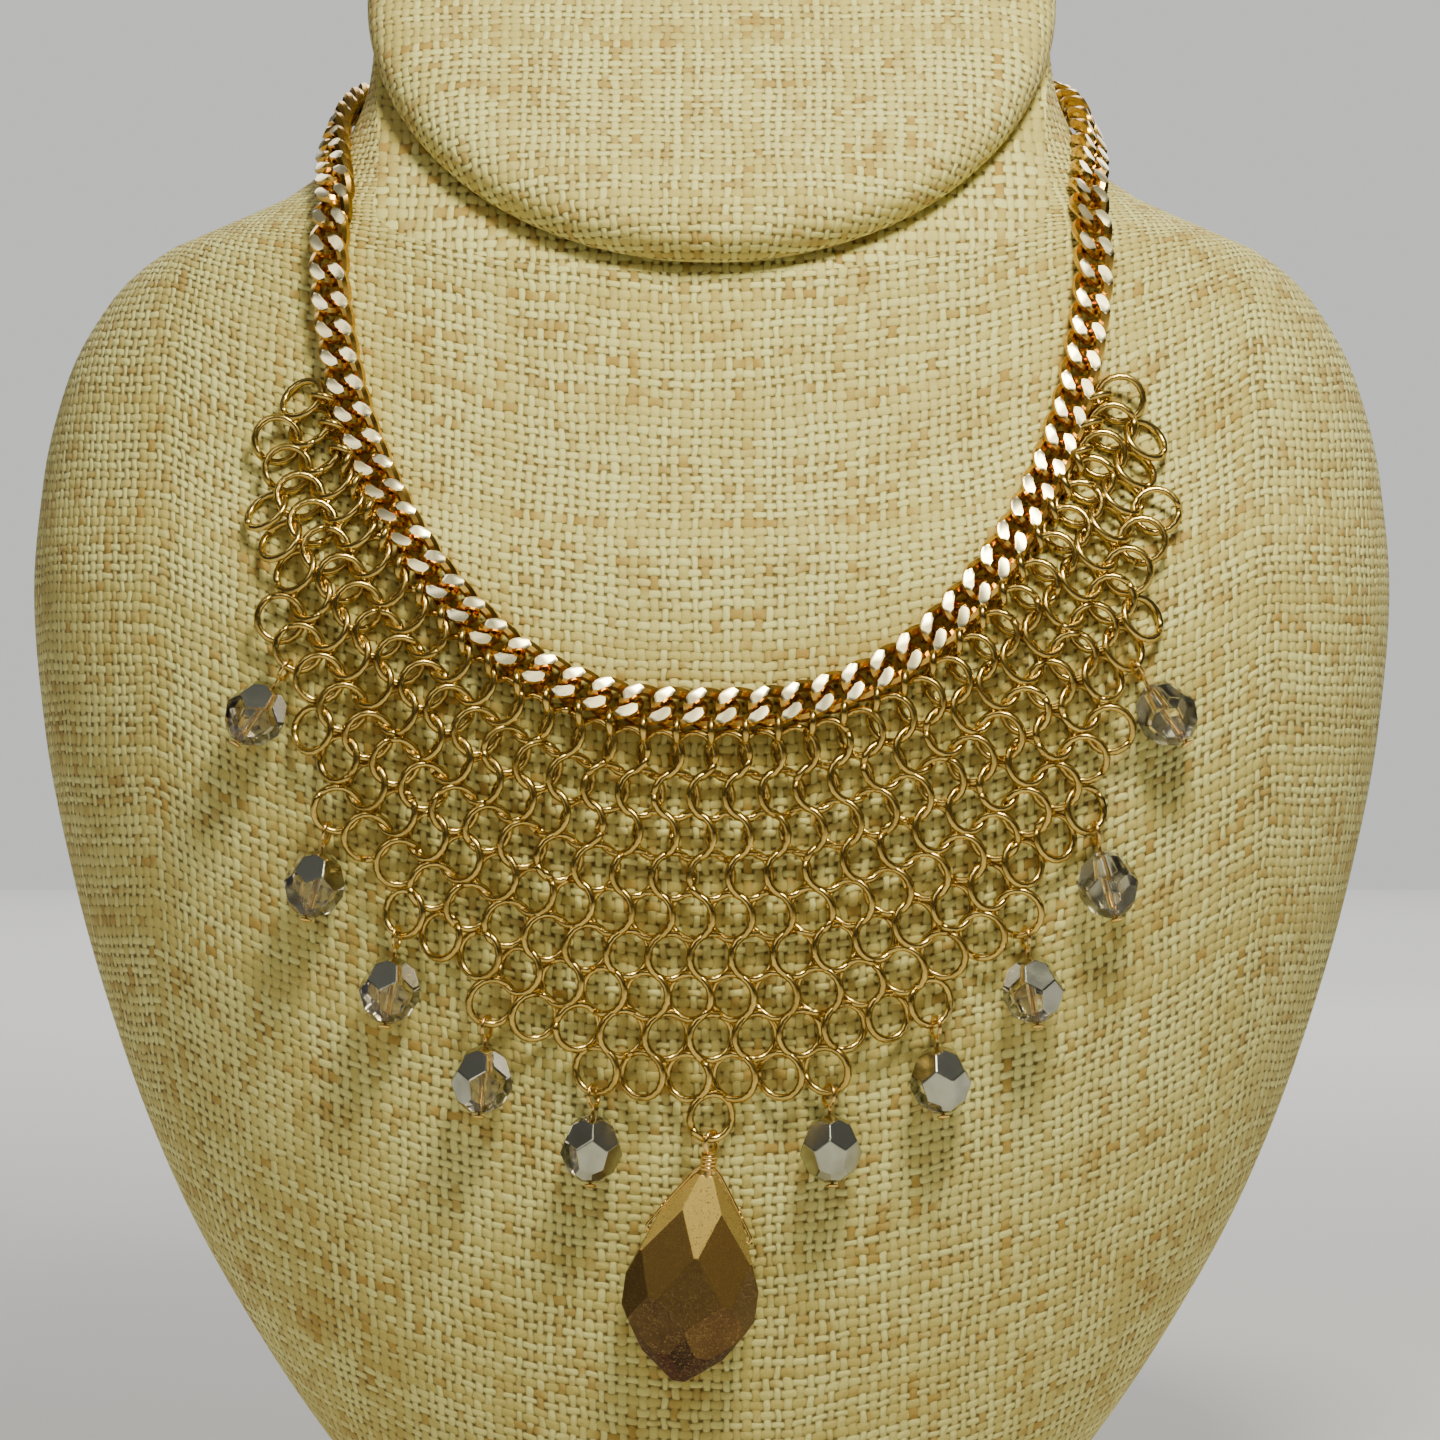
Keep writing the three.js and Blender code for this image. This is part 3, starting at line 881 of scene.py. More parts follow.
class MetalWear(ShaderGroup):
    """Handled plated metal: tone from piece to piece, faint tarnish, and fine scratches."""

    name = "metal_wear"
    inputs = (
        ("Place", "NodeSocketVector"),
        ("Tone", "NodeSocketFloat"),
        ("Bright", "NodeSocketColor"),
        ("Tarnish", "NodeSocketColor"),
        ("Roughness", "NodeSocketFloat"),
    )
    outputs = (
        ("Color", "NodeSocketColor"),
        ("Roughness", "NodeSocketFloat"),
        ("Height", "NodeSocketFloat"),
    )

    cloud_fineness = 210.0
    scratch_fineness = 2600.0
    tone_dulling = 0.35
    dull_roughness = 0.12
    scratch_roughness = 0.05

    def build(self) -> None:
        """Mixes tarnish, tone and scratches."""
        desk = self.desk
        given = self.given
        cloud = desk.noise(given["Place"], self.cloud_fineness, 4.0).outputs[0]
        grain = desk.noise(given["Place"], self.scratch_fineness, 3.0).outputs[0]
        stain = desk.ranged(cloud, 0.42, 0.72, 0.0, 0.5)
        dull = desk.math("MULTIPLY_ADD", given["Tone"], self.tone_dulling, stain)
        desk.feed(self.result["Color"], desk.blend(dull, given["Bright"], given["Tarnish"]))
        rough = desk.math("MULTIPLY_ADD", dull, self.dull_roughness, given["Roughness"])
        rough = desk.math("MULTIPLY_ADD", grain, self.scratch_roughness, rough)
        desk.feed(self.result["Roughness"], rough)
        desk.feed(self.result["Height"], grain)


class SparkleGrain(ShaderGroup):
    """Fine metallic flakes in a coating, each with its own brightness."""

    name = "sparkle_grain"
    inputs = (("Place", "NodeSocketVector"), ("Size", "NodeSocketFloat"))
    outputs = (("Flake", "NodeSocketFloat"), ("Height", "NodeSocketFloat"), ("Cloud", "NodeSocketFloat"))

    flake_from = 0.72
    cloud_fineness = 240.0

    def build(self) -> None:
        """Scatters flakes over a soft cloud."""
        desk = self.desk
        cells = desk.add("ShaderNodeTexVoronoi", feature="F1")
        desk.feed(cells.inputs["Vector"], self.given["Place"])
        desk.feed(cells.inputs["Scale"], desk.math("DIVIDE", 1.0, self.given["Size"]))
        split = desk.add("ShaderNodeSeparateColor")
        desk.feed(split.inputs[0], cells.outputs["Color"])
        desk.feed(self.result["Flake"], desk.ranged(split.outputs[0], self.flake_from, 1.0, 0.0, 1.0))
        desk.feed(self.result["Height"], split.outputs[1])
        cloud = desk.noise(self.given["Place"], self.cloud_fineness, 4.0).outputs[0]
        desk.feed(self.result["Cloud"], cloud)


@dataclass
class Groups:
    """Shared node groups."""

    cloth: WovenCloth = field(default_factory=WovenCloth)
    metal: MetalWear = field(default_factory=MetalWear)
    sparkle: SparkleGrain = field(default_factory=SparkleGrain)


def new_material(name: str) -> tuple[bpy.types.Material, NodeDesk, bpy.types.Node]:
    """Empty node material.

    Args:
        name: Name of the material.

    Returns:
        The material, its node desk and its Principled shader.
    """
    material = bpy.data.materials.new(name)
    material.use_nodes = True
    material.node_tree.nodes.clear()
    desk = NodeDesk(material.node_tree)
    shader = desk.add("ShaderNodeBsdfPrincipled")
    output = desk.add("ShaderNodeOutputMaterial")
    desk.feed(output.inputs["Surface"], shader.outputs[0])
    return material, desk, shader


def bumped(
    desk: NodeDesk, shader: bpy.types.Node, height: object, distance: float, strength: float
) -> None:
    """Feeds a height into the shader's normal through a Bump node.

    Args:
        desk: The material's nodes.
        shader: The material's shader.
        height: The height, from 0 to about 1.
        distance: Depth of the relief in metres.
        strength: How much of the relief shows.
    """
    bump = desk.add("ShaderNodeBump")
    bump.inputs["Strength"].default_value = strength
    bump.inputs["Distance"].default_value = distance
    desk.feed(bump.inputs["Height"], height)
    desk.feed(shader.inputs["Normal"], bump.outputs[0])


@dataclass(frozen=True)
class ClothFinish:
    """Cream and tan plain weave with golden slubs."""

    name: str = "burlap_cover"
    pitch: float = 1.56 * MM
    light: Colour = (0.81, 0.75, 0.26)
    dark: Colour = (0.54, 0.42, 0.10)
    fleck: Colour = (0.40, 0.22, 0.035)
    # Colour of the hollows between the threads: the brown between them, deepened with painted shade.
    gap: Colour = (0.13, 0.075, 0.015)
    relief: float = 0.42 * MM
    roughness: float = 0.8
    fibre_roughness: float = 0.15
    sheen: float = 0.12
    sheen_roughness: float = 0.5
    shine: float = 0.2

    def material(self, groups: Groups) -> bpy.types.Material:
        """Makes the woven material, laid on the piece's own UV map.

        Args:
            groups: The shared node groups.

        Returns:
            The material.
        """
        material, desk, shader = new_material(self.name)
        place = desk.add("ShaderNodeUVMap", uv_map="UVMap").outputs[0]
        weave = groups.cloth.placed(
            desk,
            place=place,
            pitch=self.pitch,
            light_thread=(*self.light, 1.0),
            dark_thread=(*self.dark, 1.0),
            fleck=(*self.fleck, 1.0),
            gap=(*self.gap, 1.0),
        )
        desk.feed(shader.inputs["Base Color"], weave["Color"])
        rough = desk.math("MULTIPLY_ADD", weave["Fibre"], self.fibre_roughness, self.roughness)
        desk.feed(shader.inputs["Roughness"], rough)
        shader.inputs["Sheen Weight"].default_value = self.sheen
        shader.inputs["Sheen Roughness"].default_value = self.sheen_roughness
        shader.inputs["Specular IOR Level"].default_value = self.shine
        bumped(desk, shader, weave["Height"], self.relief, 1.0)
        return material


@dataclass(frozen=True)
class MetalFinish:
    """Plated and polished metal of one colour."""

    name: str
    bright: Colour
    tarnish: Colour
    roughness: float
    toned: bool = True
    plain_tone: float = 0.3
    scratch_depth: float = 0.01 * MM
    scratch_strength: float = 0.3

    def material(self, groups: Groups) -> bpy.types.Material:
        """Makes the metal, with its tone read from each copy where there are copies.

        Args:
            groups: The shared node groups.

        Returns:
            The material.
        """
        material, desk, shader = new_material(self.name)
        place = desk.add("ShaderNodeTexCoord").outputs["Object"]
        tone: object = self.plain_tone
        if self.toned:
            tone = desk.add("ShaderNodeAttribute", attribute_name="tone").outputs["Fac"]
        wear = groups.metal.placed(
            desk,
            place=place,
            tone=tone,
            bright=(*self.bright, 1.0),
            tarnish=(*self.tarnish, 1.0),
            roughness=self.roughness,
        )
        shader.inputs["Metallic"].default_value = 1.0
        desk.feed(shader.inputs["Base Color"], wear["Color"])
        desk.feed(shader.inputs["Roughness"], wear["Roughness"])
        bumped(desk, shader, wear["Height"], self.scratch_depth, self.scratch_strength)
        return material


@dataclass(frozen=True)
class GlassFinish:
    """Champagne glass with a faint cloud of colour."""

    name: str = "champagne_glass"
    clear: Colour = (1.0, 0.97, 0.86)
    amber: Colour = (0.96, 0.80, 0.50)
    flake_size: float = 0.3 * MM
    refraction: float = 1.53

    def material(self, groups: Groups) -> bpy.types.Material:
        """Makes the clear glass.

        Args:
            groups: The shared node groups.

        Returns:
            The material.
        """
        material, desk, shader = new_material(self.name)
        place = desk.add("ShaderNodeTexCoord").outputs["Object"]
        cloud = groups.sparkle.placed(desk, place=place, size=self.flake_size)["Cloud"]
        tint = desk.blend(desk.ranged(cloud, 0.35, 0.65, 0.0, 1.0), self.clear, self.amber)
        desk.feed(shader.inputs["Base Color"], tint)
        desk.feed(shader.inputs["Roughness"], desk.ranged(cloud, 0.3, 0.7, 0.02, 0.08))
        shader.inputs["Transmission Weight"].default_value = 1.0
        shader.inputs["IOR"].default_value = self.refraction
        return material


@dataclass(frozen=True)
class StoneFinish:
    """Bronze coating with a fine sparkle, its facets golden at the top and red brown at the tip, the
    darkening down the drop partly painted shade.
    """

    name: str = "sparkling_bronze"
    # Colours down the drop: partly the coating's own golden to red-brown colour, partly painted shade
    # that deepens towards the tip, away from the light above.
    top: Colour = (0.72, 0.50, 0.12)
    body: Colour = (0.155, 0.085, 0.018)
    tip: Colour = (0.045, 0.011, 0.003)
    flake: Colour = (0.80, 0.54, 0.18)
    flake_size: float = 0.16 * MM
    flake_share: float = 0.22
    cloud_spread: float = 0.22
    # Spread and floor of the painted light and shade laid on each facet.
    facet_light_spread: float = 0.7
    darkest_facet_shade: float = 0.6
    metal: float = 0.75
    coat: float = 0.15
    coat_roughness: float = 0.3
    grain_depth: float = 0.03 * MM
    grain_strength: float = 0.35

    def material(self, groups: Groups) -> bpy.types.Material:
        """Makes the coating, whose colour follows each facet's place down the drop, darkening towards
        the tip partly as painted shade, with painted light and shade laid on each facet at random.

        Args:
            groups: The shared node groups.

        Returns:
            The material.
        """
        material, desk, shader = new_material(self.name)
        place = desk.add("ShaderNodeTexCoord").outputs["Object"]
        down = desk.add("ShaderNodeAttribute", attribute_name="down").outputs["Fac"]
        grain = groups.sparkle.placed(desk, place=place, size=self.flake_size)
        cloud = desk.math("SUBTRACT", grain["Cloud"], 0.5)
        # Partly painted shade: the colour darkens from top to body to tip with each facet's place down
        # the drop.
        clouded = desk.math("MULTIPLY_ADD", cloud, self.cloud_spread, down)
        colour = desk.blend(desk.ranged(clouded, 0.2, 0.42, 0.0, 1.0), self.top, self.body)
        colour = desk.blend(desk.ranged(clouded, 0.55, 0.98, 0.0, 1.0), colour, self.tip)
        # Painted light and shade: each facet is brightened or darkened at random, standing in for facets
        # that catch the light or turn away from it.
        cut = desk.add("ShaderNodeAttribute", attribute_name="cut").outputs["Fac"]
        shade = desk.math("MULTIPLY_ADD", cut, self.facet_light_spread, self.darkest_facet_shade)
        colour = desk.blend(1.0, colour, desk.joined(shade, shade, shade), "MULTIPLY")
        colour = desk.blend(desk.math("MULTIPLY", grain["Flake"], self.flake_share), colour, self.flake)
        desk.feed(shader.inputs["Base Color"], colour)
        desk.feed(shader.inputs["Roughness"], desk.ranged(grain["Flake"], 0.0, 1.0, 0.46, 0.25))
        shader.inputs["Metallic"].default_value = self.metal
        shader.inputs["Coat Weight"].default_value = self.coat
        shader.inputs["Coat Roughness"].default_value = self.coat_roughness
        bumped(desk, shader, grain["Height"], self.grain_depth, self.grain_strength)
        return material


RING_GOLD = MetalFinish("pale_ring_gold", (0.72, 0.51, 0.14), (0.42, 0.28, 0.07), 0.17)
CHAIN_GOLD = MetalFinish("deep_chain_gold", (0.76, 0.47, 0.10), (0.48, 0.26, 0.04), 0.17)
# Gold of the chain's cut flats, made near-white as a painted highlight standing in for the lamp's
# reflection on them.
CUT_GOLD_GLINT = MetalFinish("cut_gold_glint", (1.0, 0.90, 0.56), (0.98, 0.80, 0.40), 0.24)
PIN_GOLD = MetalFinish("pin_gold", (0.88, 0.60, 0.20), (0.60, 0.36, 0.09), 0.18, toned=False)
SILVER_COAT = MetalFinish("silver_coat", (0.50, 0.50, 0.41), (0.28, 0.27, 0.20), 0.12, toned=False)


@dataclass
class Bust:
    """Padded neck bust under a cloth cover, with a slanted cap on its neck."""

    base_half_width: float = 44.5 * MM
    base_reach: float = 38 * MM
    shoulder_height: float = 151 * MM
    shoulder_half_width: float = 106.8 * MM
    chest_front: float = 56 * MM
    back_depth: float = 52 * MM
    neck_height: float = 242 * MM
    neck_half_width: float = 53 * MM
    neck_front: float = 35 * MM
    neck_back: float = 38 * MM
    chest_squareness: float = 2.4
    neck_squareness: float = 2.1
    cap_slope: float = 50.0
    cap_centre_height: float = 241.5 * MM
    cap_thickness: float = 10 * MM
    cap_overhang: float = 1.4 * MM
    gap: float = 0.3 * MM
    columns: int = 144
    rows: int = 120
    weft_level: float = 0.3
    weft_bow: float = 9 * MM
    most_bow: float = 2.5
    cap_steps: int = 54
    cap_sides: int = 144

    lower = (
        SectionShare(0, 0, 0, 0),
        SectionShare(0.02, 0.066, 0.194, 0.21),
        SectionShare(0.106, 0.241, 0.36, 0.39),
        SectionShare(0.22, 0.43, 0.53, 0.54),
        SectionShare(0.371, 0.631, 0.722, 0.714),
        SectionShare(0.53, 0.782, 0.861, 0.857),
        SectionShare(0.689, 0.893, 0.961, 0.95),
        SectionShare(0.848, 0.968, 1, 1),
        SectionShare(1, 1, 0.81, 1),
    )
    upper = (
        SectionShare(0.176, 0.983, 0.56, 0.93),
        SectionShare(0.352, 0.916, 0.26, 0.75),
        SectionShare(0.495, 0.784, 0.05, 0.5),
        SectionShare(0.571, 0.641, 0, 0.36),
        SectionShare(0.633, 0.4, 0, 0.21),
        SectionShare(0.681, 0.232, 0, 0.14),
        SectionShare(0.758, 0.102, 0, 0.07),
        SectionShare(0.868, 0.024, 0, 0.03),
        SectionShare(1, 0, 0, 0),
    )

    rim = tuple(ProfileRow(*row) for row in (
        (0.0, 0.0), (0.0, 0.5), (0.0, 0.86), (0.0, 0.935), (0.03, 0.962), (0.1, 0.982),
        (0.22, 0.995), (0.38, 1.0), (0.54, 0.997), (0.68, 0.985), (0.8, 0.962), (0.89, 0.93),
        (0.95, 0.885), (0.985, 0.83), (1.0, 0.75), (1.004, 0.6), (1.006, 0.4), (1.007, 0.2),
        (1.008, 0.0),
    ))

    def __post_init__(self) -> None:
        """Works out the section curves and the slanted end of the neck."""
        shoulder_front = mix(self.base_reach, self.chest_front, self.lower[-1].front)
        sections = [
            Section(
                row.height * self.shoulder_height,
                mix(self.base_half_width, self.shoulder_half_width, row.width),
                mix(self.base_reach, self.chest_front, row.front),
                mix(self.base_reach, self.back_depth, row.back),
                self.chest_squareness,
            )
            for row in self.lower
        ]
        sections += [
            Section(
                mix(self.shoulder_height, self.neck_height, row.height),
                mix(self.neck_half_width, self.shoulder_half_width, row.width),
                mix(self.neck_front, shoulder_front, row.front),
                mix(self.neck_back, self.back_depth, row.back),
                mix(self.neck_squareness, self.chest_squareness, row.width),
            )
            for row in self.upper
        ]
        heights = [section.height for section in sections]
        self.width_at = smooth_column(heights, [section.width for section in sections])
        self.front_at = smooth_column(heights, [section.front for section in sections])
        self.back_at = smooth_column(heights, [section.back for section in sections])
        self.squareness_at = smooth_column(heights, [section.squareness for section in sections])
        slope = math.radians(self.cap_slope)
        self.cap_normal = Vector((0, -math.sin(slope), math.cos(slope)))
        self.cap_up = Vector((0, math.cos(slope), math.sin(slope)))
        self.cap_centre = Vector((0, (self.neck_back - self.neck_front) / 2, self.cap_centre_height))
        self.cap_half_width = self.neck_half_width + self.cap_overhang
        half_depth = (self.neck_back + self.neck_front) / 2
        self.cap_half_length = half_depth / math.cos(slope) + self.cap_overhang

    def middle_at(self, z: float) -> float:
        """Middle of the section at a height, on the way from front to back."""
        return (self.back_at(z) - self.front_at(z)) / 2

    def depth_at(self, z: float) -> float:
        """Half depth of the section at a height."""
        return (self.back_at(z) + self.front_at(z)) / 2

    def fullness(self, x: float, y: float, z: float) -> float:
        """How full the bust is at a point.

        Args:
            x: Place to the side.
            y: Place from front to back.
            z: Height.

        Returns:
            1 on the surface, less inside and more outside.
        """
        power = self.squareness_at(z)
        side = abs(x / self.width_at(z)) ** power
        return side + abs((y - self.middle_at(z)) / self.depth_at(z)) ** power

    def normal(self, point: Vector, step: float = 0.05 * MM) -> Vector:
        """Direction off the surface.

        Args:
            point: A point near the surface.
            step: Distance over which the slope is taken.

        Returns:
            The unit normal.
        """
        x, y, z = point
        return Vector((
            self.fullness(x + step, y, z) - self.fullness(x - step, y, z),
            self.fullness(x, y + step, z) - self.fullness(x, y - step, z),
            self.fullness(x, y, z + step) - self.fullness(x, y, z - step),
        )).normalized()

    def round_foot(self, turn: float, z: float) -> Vector:
        """Point of the surface, found by its turn.

        Args:
            turn: Turn in radians from the right side towards the back.
            z: Height.

        Returns:
            The point.
        """
        power = 2 / self.squareness_at(z)
        across, along = math.cos(turn), math.sin(turn)
        return Vector((
            self.width_at(z) * math.copysign(abs(across) ** power, across),
            self.middle_at(z) + self.depth_at(z) * math.copysign(abs(along) ** power, along),
            z,
        ))

    def front_foot(self, x: float, z: float) -> Vector:
        """Point of the surface's front, found by its place in the front view.

        Args:
            x: Place to the side.
            z: Height.

        Returns:
            The point.
        """
        power = self.squareness_at(z)
        inside = max(0.0, 1 - abs(x / self.width_at(z)) ** power)
        return Vector((x, self.middle_at(z) - self.depth_at(z) * inside ** (1 / power), z))

    def lifted(self, foot: Vector, lift: float) -> Vector:
        """Point at a distance off the surface."""
        return foot + self.normal(foot) * lift

    def cover(self, finish: bpy.types.Material) -> bpy.types.Object:
        """Lays the cloth cover round the bust and trims it on the slant of the neck.

        Args:
            finish: Woven material of the cover.

        Returns:
            The dressed bust.
        """
        top = self.cap_centre_height + self.cap_half_length + self.cap_thickness
        seam_turn = math.pi / 2

        def place(share: float, turn: float) -> Vector:
            """Point of the cover.

            Args:
                share: Share of the height.
                turn: Share of the way round, from the middle of the back.

            Returns:
                The point.
            """
            z = share * top
            foot = self.round_foot(seam_turn + FULL_TURN * turn, min(z, self.neck_height))
            foot.z = z
            return foot

        points = [
            [place(i / self.rows, j / self.columns) for j in range(self.columns + 1)]
            for i in range(self.rows + 1)
        ]
        middle = self.columns // 2
        level = round(self.rows * self.weft_level)
        weft = [[0.0] * (self.columns + 1) for _ in points]
        warp = [[0.0] * (self.columns + 1) for _ in points]
        for i, ring in enumerate(points):
            for j in range(middle + 1, self.columns + 1):
                weft[i][j] = weft[i][j - 1] + (ring[j] - ring[j - 1]).length
            for j in range(middle - 1, -1, -1):
                weft[i][j] = weft[i][j + 1] - (ring[j] - ring[j + 1]).length
        for j in range(self.columns + 1):
            for i in range(level + 1, self.rows + 1):
                warp[i][j] = warp[i - 1][j] + (points[i][j] - points[i - 1][j]).length
            for i in range(level - 1, -1, -1):
                warp[i][j] = warp[i + 1][j] - (points[i][j] - points[i + 1][j]).length

        def cloth(i: int, j: int) -> tuple[float, float]:
            """Place on the cloth, whose weft bows down across the throat.

            Args:
                i: Row of the cover.
                j: Column of the cover.

            Returns:
                Place across and up the cloth, in metres.
            """
            side = points[i][j].x / self.neck_half_width
            bow = self.weft_bow * min(side * side, self.most_bow)
            return weft[i][j], warp[i][j] - bow

        piece = Shaper.wrapped("bust_cover", self.rows, self.columns, place, cloth)
        Shaper.sliced(piece, [(self.cap_centre, self.cap_normal)])
        self.lay_flat(piece)
        Shaper.smooth(piece, 50)
        hand_over(piece, Slot.CLOTH, finish, ["bust_body"])
        return piece

    def lay_flat(self, piece: bpy.types.Object) -> None:
        """Lays the cloth flat over the base and the hidden end of the neck.

        Args:
            piece: The cover, whose two ends are faces with many corners.
        """
        sheet = piece.data.uv_layers.active.data
        most_corners = 8
        for face in piece.data.polygons:
            if len(face.vertices) > most_corners:
                for corner in face.loop_indices:
                    spot = piece.data.vertices[piece.data.loops[corner].vertex_index].co
                    sheet[corner].uv = (spot.x, spot.y)

    def cap(self, finish: bpy.types.Material) -> bpy.types.Object:
        """Makes the slanted cap with its rolled edge.

        Args:
            finish: Woven material of the cap.

        Returns:
            The dressed cap.
        """
        steps, sides = self.cap_steps, self.cap_sides
        numbers = list(range(len(self.rim)))
        height_at = smooth_column(numbers, [row.along for row in self.rim])
        reach_at = smooth_column(numbers, [row.out for row in self.rim])
        last = numbers[-1]
        sheet_reach = [0.0]
        for step in range(1, steps + 1):
            now, before = step / steps * last, (step - 1) / steps * last
            rise = (height_at(now) - height_at(before)) * self.cap_thickness
            run = (reach_at(now) - reach_at(before)) * self.cap_half_length
            sheet_reach.append(sheet_reach[-1] + math.hypot(rise, run))

        def place(share: float, turn: float) -> Vector:
            """Point of the cap's skin.

            Args:
                share: Share of the way from the middle of the underside to that of the top.
                turn: Share of the way round.

            Returns:
                The point.
            """
            angle = FULL_TURN * turn
            row = share * last
            out = self.cap_normal * (self.gap + height_at(row) * self.cap_thickness)
            side = Vector((self.cap_half_width * reach_at(row) * math.cos(angle), 0, 0))
            return self.cap_centre + out + side + self.cap_up * (
                self.cap_half_length * reach_at(row) * math.sin(angle)
            )

        def cloth(i: int, j: int) -> tuple[float, float]:
            """Place on the cloth, measured out from the middle of the top.

            Args:
                i: Row of the cap, from the underside.
                j: Column of the cap.

            Returns:
                Place across and up the cloth, in metres.
            """
            reach = sheet_reach[-1] - sheet_reach[i]
            angle = FULL_TURN * j / sides
            squeeze = self.cap_half_width / self.cap_half_length
            return reach * squeeze * math.cos(angle), reach * math.sin(angle)

        piece = Shaper.wrapped("cap_cover", steps, sides, place, cloth)
        Shaper.smooth(piece, 60)
        hand_over(piece, Slot.CLOTH, finish, ["neck_cap"])
        return piece


@dataclass
class CurbChain:
    """Flat curb chain whose links are bright-cut on their faces; the cuts' near-white colour is a
    painted highlight.
    """

    bust: Bust
    width: float = 6.4 * MM
    thickness: float = 3.2 * MM
    rest: float = 0.6 * MM
    pitch: float = 4.7 * MM
    wire: float = 0.98 * MM
    crossing: float = 1.08 * MM
    face: float = 1.5 * MM
    roll: float = 14.0
    clasp_length: float = 12 * MM
    clasp_width: float = 5.4 * MM
    clasp_thickness: float = 3.4 * MM
    eye_radius: float = 1.5 * MM
    eye_wire: float = 0.84 * MM
    eye_reach: float = 1.1 * MM
    clasp_overlap: float = 0.3
    sway: float = 2.0
    around: int = 32
    sides: int = 8

    chest_points = tuple(FrontPlace(*row) for row in (
        (0, 131), (14, 132.2), (26.8, 137.4), (36.8, 146), (44.2, 155.2), (50, 166), (54, 177),
        (56.9, 190.5), (57.6, 200), (57, 208.5),
    ))
    neck_points = tuple(NeckPlace(*row) for row in (
        (-20, 217), (-2, 224.5), (25, 230.5), (55, 233.5), (90, 234.5),
    ))
    barrel = tuple(ProfileRow(*row) for row in (
        (-1.0, 0.0), (-1.0, 0.3), (-0.96, 0.42), (-0.9, 0.5), (-0.8, 0.8), (-0.62, 0.94),
        (-0.4, 1.0), (-0.05, 1.0), (-0.03, 0.9), (0.03, 0.9), (0.05, 1.0), (0.4, 1.0),
        (0.62, 0.94), (0.8, 0.8), (0.9, 0.5), (0.96, 0.42), (1.0, 0.3), (1.0, 0.0),
    ))

    def __post_init__(self) -> None:
        """Lays the chain's way round the bust."""
        self.lift = max(self.thickness, self.clasp_thickness) / 2 + self.rest
        feet = [self.bust.front_foot(spot.x * MM, spot.z * MM) for spot in self.chest_points]
        feet += [
            self.bust.round_foot(math.radians(spot.turn), spot.z * MM) for spot in self.neck_points
        ]
        right = [self.bust.lifted(foot, self.lift) for foot in feet]
        left = [Vector((-point.x, point.y, point.z)) for point in reversed(right[1:-1])]
        self.route = Route(right + left, closed=True, fineness=60)
        self.half_length = self.width / 2 - self.wire
        reach = (self.route.length - self.clasp_length) / 2 - self.pitch * self.clasp_overlap
        self.links_a_side = round(reach / self.pitch)
        self.spacing = reach / self.links_a_side

    def frame_at(self, way: float) -> Matrix:
        """Frame on the chain's way.

        Args:
            way: Length along the way, from the middle of the front.

        Returns:
            Frame with x along the way, y across it on the bust, and z off the bust.
        """
        point = self.route.at(way)
        along = self.route.tangent(way)
        out = self.bust.normal(point)
        out = (out - along * out.dot(along)).normalized()
        return framed(along, out.cross(along), out, point)

    def pattern(self, finish: bpy.types.Material, cut: bpy.types.Material) -> bpy.types.Object:
        """Models one link: a twisted oval of round wire, cut flat on both faces.

        Args:
            finish: Material of the round wire.
            cut: Material of the cut flats, near-white with a painted highlight.

        Returns:
            The link at the origin.
        """
        reach = (self.spacing + 2 * self.wire) / 2

        def middle(turn: float) -> Vector:
            """Middle of the wire.

            Args:
                turn: Turn round the link, in radians.

            Returns:
                The point.
            """
            return Vector((
                reach * math.cos(turn),
                self.half_length * math.sin(turn),
                -self.crossing * math.sin(2 * turn),
            ))

        def place(share: float, round_share: float) -> Vector:
            """Point on the link's skin.

            Args:
                share: Share of the way round the link.
                round_share: Share of the way round the wire.

            Returns:
                The point.
            """
            turn, step = FULL_TURN * share, 0.01
            along = (middle(turn + step) - middle(turn - step)).normalized()
            side = along.cross(Vector((0, 0, 1))).normalized()
            angle = FULL_TURN * round_share
            off = side * math.cos(angle) + side.cross(along) * math.sin(angle)
            return middle(turn) + off * self.wire

        link = Shaper.wrapped("curb_link", self.around, self.sides, place)
        up = Vector((0, 0, 1))
        Shaper.sliced(link, [(up * self.face, up), (-up * self.face, -up)])
        link.data.materials.append(finish)
        link.data.materials.append(cut)
        # The flat cut faces take the near-white material, a painted highlight.
        for face in link.data.polygons:
            if abs(face.normal.z) > 0.999 and abs(face.center.z) > self.face * 0.99:
                face.material_index = 1
        return link

    def links(self, finish: bpy.types.Material, cut: bpy.types.Material) -> bpy.types.Object:
        """Lays the links along the way, from one end of the clasp to the other.

        Args:
            finish: Material of the round wire.
            cut: Material of the cut flats, near-white with a painted highlight.

        Returns:
            All the links as one piece.
        """
        draw = random.Random(11)
        places = []
        for number in range(-self.links_a_side, self.links_a_side + 1):
            seat = self.frame_at(number * self.spacing)
            level = seat.col[0].x ** 2 if seat.translation.y < 0 else 0.0
            tilt = draw.uniform(-self.sway, self.sway) - self.roll * level
            places.append(seat @ Matrix.Rotation(math.radians(tilt), 4, "X"))
        piece = Shaper.copies("curb_links", self.pattern(finish, cut), places, 21)
        Shaper.smooth(piece, 35)
        hand_over(piece, Slot.CHAIN, finish, ["curb_chain"])
        return piece

    def clasp(self, finish: bpy.types.Material) -> bpy.types.Object:
        """Makes the plain barrel clasp with an eye at each end.

        Args:
            finish: Material of the clasp.

        Returns:
            The clasp behind the neck.
        """
        half = self.clasp_length / 2 - self.wire * 2
        middle = self.route.length / 2
        steps = len(self.barrel) - 1

